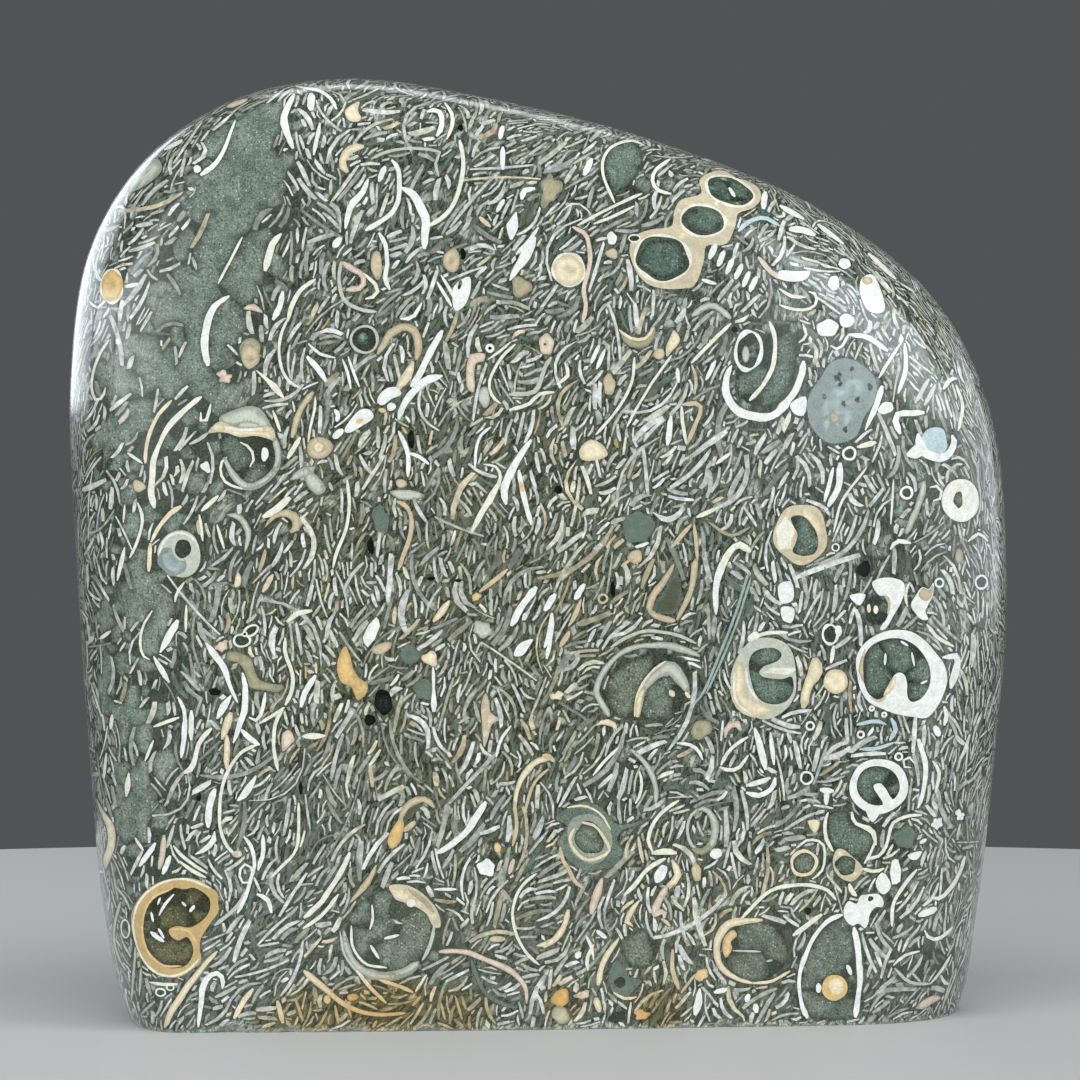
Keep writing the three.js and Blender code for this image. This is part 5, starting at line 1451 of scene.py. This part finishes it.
mesh = bpy.data.meshes.new("turritella_stone_skin")
mesh.from_pydata(points, [], triangles.tolist())
mesh.polygons.foreach_set("material_index", material_of.astype(np.int32))
mesh.polygons.foreach_set("use_smooth", np.ones(len(triangles), bool))
tint = mesh.attributes.new("tint", "FLOAT_COLOR", "FACE")
tint.data.foreach_set("color", tint_of.astype(np.float32).ravel())

# For the materials, at each point: whether it is on the middle of a shell or on an outline, the lie
# of the splinters, how many crumbs of shell the stone holds, how warm it is, and how rusty.
half_spots = np.vstack([front["spots"], back["spots"], np.zeros((2 * FOOT_POINTS, 2))])
half_sides = np.repeat([FRONT, BACK, BACK], [front_count, back_count, 2 * FOOT_POINTS])
core_of, shade_beside_of = (np.concatenate([front[name], back[name], np.zeros(2 * FOOT_POINTS)])
                      for name in ("core", "beside"))
lie_of = np.where(half_sides == FRONT, flow(FRONT, half_spots), flow(BACK, half_spots)) % 180
measures = {"core": core_of, "beside": shade_beside_of, "lie": lie_of}
for name, measure in (("crumbs", plenty), ("warm", warmth), ("rust", rust)):
    measures[name] = np.where(half_sides == FRONT, measure(FRONT, half_spots), measure(BACK, half_spots))
for name, values in measures.items():
    layer = mesh.attributes.new(name, "FLOAT", "POINT")
    layer.data.foreach_set("value", values[used])

# A map of the unrolled skin: the front at the foot, then the back, and the base at the top. Each is
# as wide as the map, and has its rows of it.
skin_spots = np.vstack([front["spots"], back["spots"]])
map_low, map_size = skin_spots.min(0), skin_spots.max(0) - skin_spots.min(0)
front_map, back_map = ((half["spots"] - map_low)[half["triangles"]] / map_size
                       for half in (front, back))
base_map = (points[triangles[-sawn_count:]][:, :, :2] - low[:2]) / (high - low)[:2]
maps = ((front_map, FRONT_ROWS), (back_map, BACK_ROWS), (base_map, BASE_ROWS))
corner_map = np.concatenate([part * (1, share) + (0, start) for part, (start, share) in maps])
uv = mesh.uv_layers.new(name="OFBake")
uv.data.foreach_set("uv", corner_map.astype(np.float32).ravel())
mesh.normals_split_custom_set(corner_normals.reshape(-1, 3).tolist())
mesh.update()

# ---------------------------------------------------------------- finishes
# The stone is grey-green chalcedony full of sand grains and crumbs of shell. The shells are cloudy,
# grainy calcite, and some fade into the stone towards their outline. All of it has one polish, but
# for the sawn base.
GLOSS, BODY = 0.15, 1.54  # roughness of the polish, and index of refraction
SAWN_ROUGHNESS, SAWN_DUST = 0.6, (0.42, 0.44, 0.40)  # and what the saw cut is paled with
DARK_STONE, LIGHT_STONE = (0.070, 0.090, 0.070), (0.130, 0.158, 0.126)
LIGHT_CRUMB, DARK_CRUMB = (0.40, 0.44, 0.38), (0.018, 0.026, 0.022)
LIGHT_SLIVER, DULL_SLIVER = (0.44, 0.44, 0.37), (0.26, 0.30, 0.26)
# These are multiplied with a colour: in cool and in warm stone, as painted shade beside a shell,
# and under iron stain.
COOL_TONE, WARM_TONE = (0.97, 1.0, 1.02), (1.07, 1.0, 0.88)
PAINTED_SHADE_BESIDE_SHELL = (0.27, 0.29, 0.25)
STAINED_STONE, STAINED_SHELL = (1.12, 0.82, 0.38), (0.80, 0.62, 0.34)


def node(tree, kind, inputs=None, **settings):
    """A node with its settings, and its inputs set to values or joined to other nodes' outputs."""
    made = tree.nodes.new(kind)
    for name, value in settings.items():
        setattr(made, name, value)
    for name, value in (inputs or {}).items():
        if isinstance(value, bpy.types.NodeSocket):
            tree.links.new(value, made.inputs[name])
        else:
            made.inputs[name].default_value = value
    return made


def maths(tree, operation, a, b):
    """One step of arithmetic on two values."""
    return node(tree, "ShaderNodeMath", {0: a, 1: b}, operation=operation).outputs[0]


def blend(tree, share, a, b, kind="MIX"):
    """Colour a with a share of b over it, mixed in, or, for MULTIPLY, multiplied with it."""
    made = node(tree, "ShaderNodeMix", data_type="RGBA", blend_type=kind)
    for socket, value in ((made.inputs[0], share), (made.inputs[6], a), (made.inputs[7], b)):
        if isinstance(value, bpy.types.NodeSocket):
            tree.links.new(value, socket)
        else:
            socket.default_value = value if isinstance(value, (int, float)) else (*value, 1)
    return made.outputs[2]


def between(tree, value, low, high, to_low=0.0, to_high=1.0):
    """From to_low to to_high by a smooth step, as the value goes from low to high."""
    inputs = {"Value": value, "From Min": low, "From Max": high, "To Min": to_low, "To Max": to_high}
    return node(tree, "ShaderNodeMapRange", inputs, interpolation_type="SMOOTHSTEP").outputs[0]


def finish(name):
    """An empty material with a Principled shader, and Object coordinates in mm."""
    material = bpy.data.materials.new(name)
    material.use_nodes = True
    tree = material.node_tree
    tree.nodes.clear()
    shader = node(tree, "ShaderNodeBsdfPrincipled", {"IOR": BODY, "Roughness": GLOSS})
    node(tree, "ShaderNodeOutputMaterial", {"Surface": shader.outputs[0]})
    place = node(tree, "ShaderNodeTexCoord").outputs["Object"]
    scaled = node(tree, "ShaderNodeMapping", {"Vector": place, "Scale": (1 / MM,) * 3})
    return material, tree, shader, scaled.outputs[0]


def noise(tree, place, scale, detail=2.0):
    """Cloudy noise from 0 to 1, with scale waves to the mm and finer ones over them."""
    inputs = {"Vector": place, "Scale": scale, "Detail": detail, "Roughness": 0.6}
    return node(tree, "ShaderNodeTexNoise", inputs).outputs["Fac"]


def crumbs(tree, place, scale, size, odds):
    """Spots of shell: cells round scattered points, whose random number is under the odds, out to
    size of a cell. Gives the spots' strength and each cell's random colour."""
    cell = node(tree, "ShaderNodeTexVoronoi", {"Vector": place, "Scale": scale, "Randomness": 1.0})
    lot = node(tree, "ShaderNodeSeparateColor", {0: cell.outputs["Color"]})
    chosen = maths(tree, "LESS_THAN", lot.outputs[0], odds)
    spot = between(tree, cell.outputs["Distance"], size * 0.75, size, 1.0, 0.0)
    return maths(tree, "MULTIPLY", spot, chosen), lot.outputs[1]


def lying(tree, place, lie):
    """Coordinates squeezed across and stretched along a line, so that round cells become slivers.
    The line leans right by 42 or 14 degrees or left by 12, by the lie of the shells and by chance."""
    drift = noise(tree, place, 0.28)
    turned = []
    for lean in (42, 14, -12):
        inputs = {"Vector": place, "Rotation": (0, math.radians(lean), 0),
                  "Location": (9 * lean, 0, 0), "Scale": (0.42, 1.0, 1.5)}
        turned.append(node(tree, "ShaderNodeMapping", inputs, vector_type="TEXTURE").outputs[0])
    upright = maths(tree, "ADD", between(tree, lie, 50, 95), maths(tree, "MULTIPLY", drift, 3.0))
    chosen = turned[0]
    for limit, other in ((1.75, turned[1]), (2.35, turned[2])):
        inputs = {0: maths(tree, "GREATER_THAN", upright, limit), 4: chosen, 5: other}
        chosen = node(tree, "ShaderNodeMix", inputs, data_type="VECTOR").outputs[1]
    return chosen


def plain_stone(tree, place):
    """Dark and light blotches, and sand grains."""
    blotch = between(tree, noise(tree, place, 0.4, 5.0), 0.3, 0.7)
    colour = blend(tree, blotch, DARK_STONE, LIGHT_STONE)
    grain = between(tree, noise(tree, place, 4.0, 4.0), 0.25, 0.75, 0.35, 1.75)
    return blend(tree, 1.0, colour, grey(tree, grain), "MULTIPLY")


def stone_colour(tree, place, many, lie):
    """Plain stone, darker where it holds many crumbs, a painted shade among the splinters, then fine
    light and dark crumbs, and over them a coarse and a fine set of slivers that lie with the current.
    many is how full of them it is."""
    colour = plain_stone(tree, place)
    # Painted shade among the splinters: plain stone darkens where they lie thick.
    deep = between(tree, many, 0.1, 0.8, 1.0, 0.72)
    colour = blend(tree, 1.0, colour, grey(tree, deep), "MULTIPLY")
    spot, lot = crumbs(tree, place, 2.8, 0.34, 0.26)
    bright = maths(tree, "MULTIPLY", spot, between(tree, lot, 0, 1, 0.15, 0.8))
    colour = blend(tree, bright, colour, LIGHT_CRUMB)
    dark, _ = crumbs(tree, place, 1.9, 0.3, 0.16)
    colour = blend(tree, maths(tree, "MULTIPLY", dark, 0.8), colour, DARK_CRUMB)
    lain = lying(tree, place, lie)
    for scale, share in ((0.85, 0.75), (1.5, 0.9)):
        inputs = {"Vector": lain, "Scale": scale}
        cell = node(tree, "ShaderNodeTexVoronoi", inputs)
        lot = node(tree, "ShaderNodeSeparateColor", {0: cell.outputs["Color"]})
        gap = node(tree, "ShaderNodeTexVoronoi", inputs, feature="DISTANCE_TO_EDGE")
        body = maths(tree, "MULTIPLY", between(tree, gap.outputs["Distance"], 0.03, 0.12), many)
        much = maths(tree, "MULTIPLY", between(tree, lot.outputs[0], 1.0 - share, 1.0, 0.0, 0.95), body)
        shade = blend(tree, lot.outputs[1], LIGHT_SLIVER, DULL_SLIVER)
        colour = blend(tree, much, colour, shade)
    return colour


def attribute(tree, name, output):
    """One of the mesh's measures, by its name."""
    return node(tree, "ShaderNodeAttribute", attribute_name=name).outputs[output]


def grey(tree, value):
    """A grey as bright as the value."""
    return node(tree, "ShaderNodeCombineColor", {0: value, 1: value, 2: value}).outputs[0]


def rusty(tree, colour, stained):
    """The colour under an iron stain: times stained, as far as the rust goes."""
    stained = blend(tree, 1.0, colour, stained, "MULTIPLY")
    return blend(tree, attribute(tree, "rust", "Fac"), colour, stained)


stone, tree, shader, place = finish("polished_green_chalcedony")
warm = attribute(tree, "warm", "Fac")
many = maths(tree, "MULTIPLY", attribute(tree, "crumbs", "Fac"),
             maths(tree, "SUBTRACT", 1.0, attribute(tree, "tint", "Alpha")))
colour = stone_colour(tree, place, many, attribute(tree, "lie", "Fac"))
tone = blend(tree, warm, COOL_TONE, WARM_TONE)
colour = blend(tree, 1.0, colour, tone, "MULTIPLY")
colour = blend(tree, 1.0, colour, attribute(tree, "tint", "Color"), "MULTIPLY")
# Painted shade: the stone darkens towards the outlines of shells and splinters.
beside = maths(tree, "POWER", attribute(tree, "beside", "Fac"), 2.3)  # darkest right beside a shell
colour = blend(tree, beside, colour, blend(tree, 1.0, colour, PAINTED_SHADE_BESIDE_SHELL, "MULTIPLY"))
colour = rusty(tree, colour, STAINED_STONE)
tree.links.new(colour, shader.inputs["Base Color"])
gloss = between(tree, noise(tree, place, 1.5), 0.2, 0.8, GLOSS - 0.03, GLOSS + 0.05)
tree.links.new(gloss, shader.inputs["Roughness"])

shell, tree, shader, place = finish("polished_shell_calcite")
small = maths(tree, "LESS_THAN", attribute(tree, "tint", "Alpha"), 0.0)  # the splinters
cloudiest = node(tree, "ShaderNodeMix", {0: small, 2: 0.88, 3: 0.55}).outputs[0]
cloud = between(tree, noise(tree, place, 0.9, 4.0), 0.3, 0.7, cloudiest, 1.1)
grain = between(tree, noise(tree, place, 3.5, 3.0), 0.25, 0.75, 0.84, 1.1)
fading, core = attribute(tree, "tint", "Alpha"), attribute(tree, "core", "Fac")
large = maths(tree, "GREATER_THAN", fading, 0.0)
# Painted shading, as if large shells were rounded: lighter along the middle, darker to the outline.
painted_rounding = between(tree, core, 0.0, 1.0, 0.84, 1.06)  # large shells are lighter along their middles
shade = node(tree, "ShaderNodeMix", {0: large, 2: 1.0, 3: painted_rounding}).outputs[0]
both = maths(tree, "MULTIPLY", maths(tree, "MULTIPLY", cloud, grain), shade)
colour = blend(tree, 1.0, attribute(tree, "tint", "Color"), grey(tree, both), "MULTIPLY")
to_edge = {"Value": core, "From Max": 0.75, "To Min": 1.0, "To Max": 0.0}
far = node(tree, "ShaderNodeMapRange", to_edge).outputs[0]
colour = blend(tree, maths(tree, "MULTIPLY", far, fading), colour, plain_stone(tree, place))
colour = rusty(tree, colour, STAINED_SHELL)
tree.links.new(colour, shader.inputs["Base Color"])

sawn, tree, shader, place = finish("sawn_base")
colour = stone_colour(tree, place, attribute(tree, "crumbs", "Fac"), attribute(tree, "lie", "Fac"))
colour = blend(tree, 0.35, colour, SAWN_DUST)
tree.links.new(colour, shader.inputs["Base Color"])
shader.inputs["Roughness"].default_value = SAWN_ROUGHNESS

for material in (shell, stone, sawn):  # in the order of SHELL, STONE and SAWN
    mesh.materials.append(material)

piece = bpy.data.objects.new("turritella_stone_polished", mesh)
bpy.context.collection.objects.link(piece)
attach(piece, "root")
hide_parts("turritella_stone")

# ---------------------------------------------------------------- the table, the light and the camera
# A plain pale table top, soft lamps and the camera, a little left of square on and level with the
# middle of the stone. Nothing here is part of the stone.
TABLE_RADIUS, TABLE_DEPTH, TABLE_STEPS = 0.34, 0.02, 120


def plain(name, colour, roughness):
    """A plain material in one colour."""
    material = bpy.data.materials.new(name)
    material.use_nodes = True
    shader = material.node_tree.nodes["Principled BSDF"]
    shader.inputs["Base Color"].default_value = (*colour, 1)
    shader.inputs["Roughness"].default_value = roughness
    return material


turns = np.linspace(0, 2 * math.pi, TABLE_STEPS, endpoint=False)
table_edge = np.stack([np.cos(turns), np.sin(turns), np.zeros(TABLE_STEPS)], -1) * TABLE_RADIUS
table_points = np.vstack([table_edge, table_edge - (0, 0, TABLE_DEPTH)])
here = np.arange(TABLE_STEPS)
after = np.roll(here, -1)
table_sides = np.stack([here, here + TABLE_STEPS, after + TABLE_STEPS, after], -1)
table_mesh = bpy.data.meshes.new("table_top")
table_mesh.from_pydata(table_points.tolist(), [], [here.tolist()] + table_sides.tolist())
table_mesh.materials.append(plain("pale_table", (0.36, 0.36, 0.355), 0.55))
table = bpy.data.objects.new("table_top", table_mesh)
bpy.context.collection.objects.link(table)

world = bpy.data.worlds.new("studio")
bpy.context.scene.world = world
world.use_nodes = True
dusk = world.node_tree.nodes["Background"].inputs
dusk["Color"].default_value = (0.085, 0.087, 0.09, 1)
dusk["Strength"].default_value = 1.0

STONE_MIDDLE = Vector((0, 0, 0.068))  # in metres, which the lamps face
COOL = (0.84, 0.93, 1.0)


def lamp(name, turn, rise, away, width, height, watts, colour=(1, 1, 1), mirrored=True):
    """A soft rectangular lamp that faces the stone's middle, away metres from it, turn degrees
    round to the right from the front and rise degrees above the level. The polish shows it if it
    is mirrored."""
    turn, rise = math.radians(turn), math.radians(rise)
    level = math.cos(rise)
    from_stone = Vector((math.sin(turn) * level, -math.cos(turn) * level, math.sin(rise)))
    data = bpy.data.lights.new(name, "AREA")
    data.shape, data.size, data.size_y = "RECTANGLE", width, height
    data.energy, data.color = watts, colour
    made = bpy.data.objects.new(name, data)
    made.visible_glossy = mirrored
    made.location = STONE_MIDDLE + from_stone * away
    made.rotation_euler = (-from_stone).to_track_quat("-Z", "Y").to_euler()
    bpy.context.collection.objects.link(made)


lamp("key_left", -24, 46, 1.6, 1.5, 1.1, 25, mirrored=False)
lamp("key_right", 34, 50, 1.6, 1.2, 1.0, 12, mirrored=False)
lamp("fill", -6, 6, 1.6, 1.2, 0.5, 5, mirrored=False)
lamp("left_window", -26, 11, 1.2, 0.75, 0.26, 3.2, COOL)
lamp("left_side", -80, 12, 0.9, 1.0, 0.13, 2.6, COOL)
lamp("left_strip", -138, 15, 0.9, 0.8, 0.4, 2.8, COOL)
lamp("right_edge", 105, 10, 0.9, 0.8, 0.4, 1.8, COOL)
lamp("behind_top", 178, 46, 1.0, 0.45, 0.18, 0.6, COOL)
lamp("right_window", 27, 11, 1.2, 0.35, 0.25, 0.7, COOL)
lamp("right_shoulder", 60, 27, 1.0, 0.72, 0.4, 4.8, COOL)
lamp("right_low", 62, 2, 1.2, 0.9, 0.3, 1.2, COOL)

STAND_OFF, EYE_HEIGHT = 0.675, 0.075  # metres
EYE_LEFT, EYE_DOWN = 3.0, 0.506  # degrees that it looks from the left of square on, and down
SENSOR, LENS = 36, 154.84
IMAGE_SHIFT = 0.58 * MM  # the view's middle is this far left of the plumb line
BEYOND = Vector((0.13 * MM, 0.57 * MM, 0))  # the solid's middle, from the rim plane's
camera_data = bpy.data.cameras.new("camera")
camera_data.sensor_width, camera_data.lens = SENSOR, LENS
camera_data.clip_start = 0.01
camera = bpy.data.objects.new("camera", camera_data)
left = math.radians(EYE_LEFT)
right_hand = Vector((math.cos(left), -math.sin(left), 0))
ahead = Vector((math.sin(left), math.cos(left), 0))
camera.location = Vector((0, 0, EYE_HEIGHT)) - ahead * STAND_OFF - right_hand * IMAGE_SHIFT + BEYOND
gaze = ahead - Vector((0, 0, math.tan(math.radians(EYE_DOWN))))
camera.rotation_euler = gaze.to_track_quat("-Z", "Y").to_euler()
bpy.context.collection.objects.link(camera)
bpy.context.scene.camera = camera
bpy.context.scene.view_settings.view_transform = "Standard"
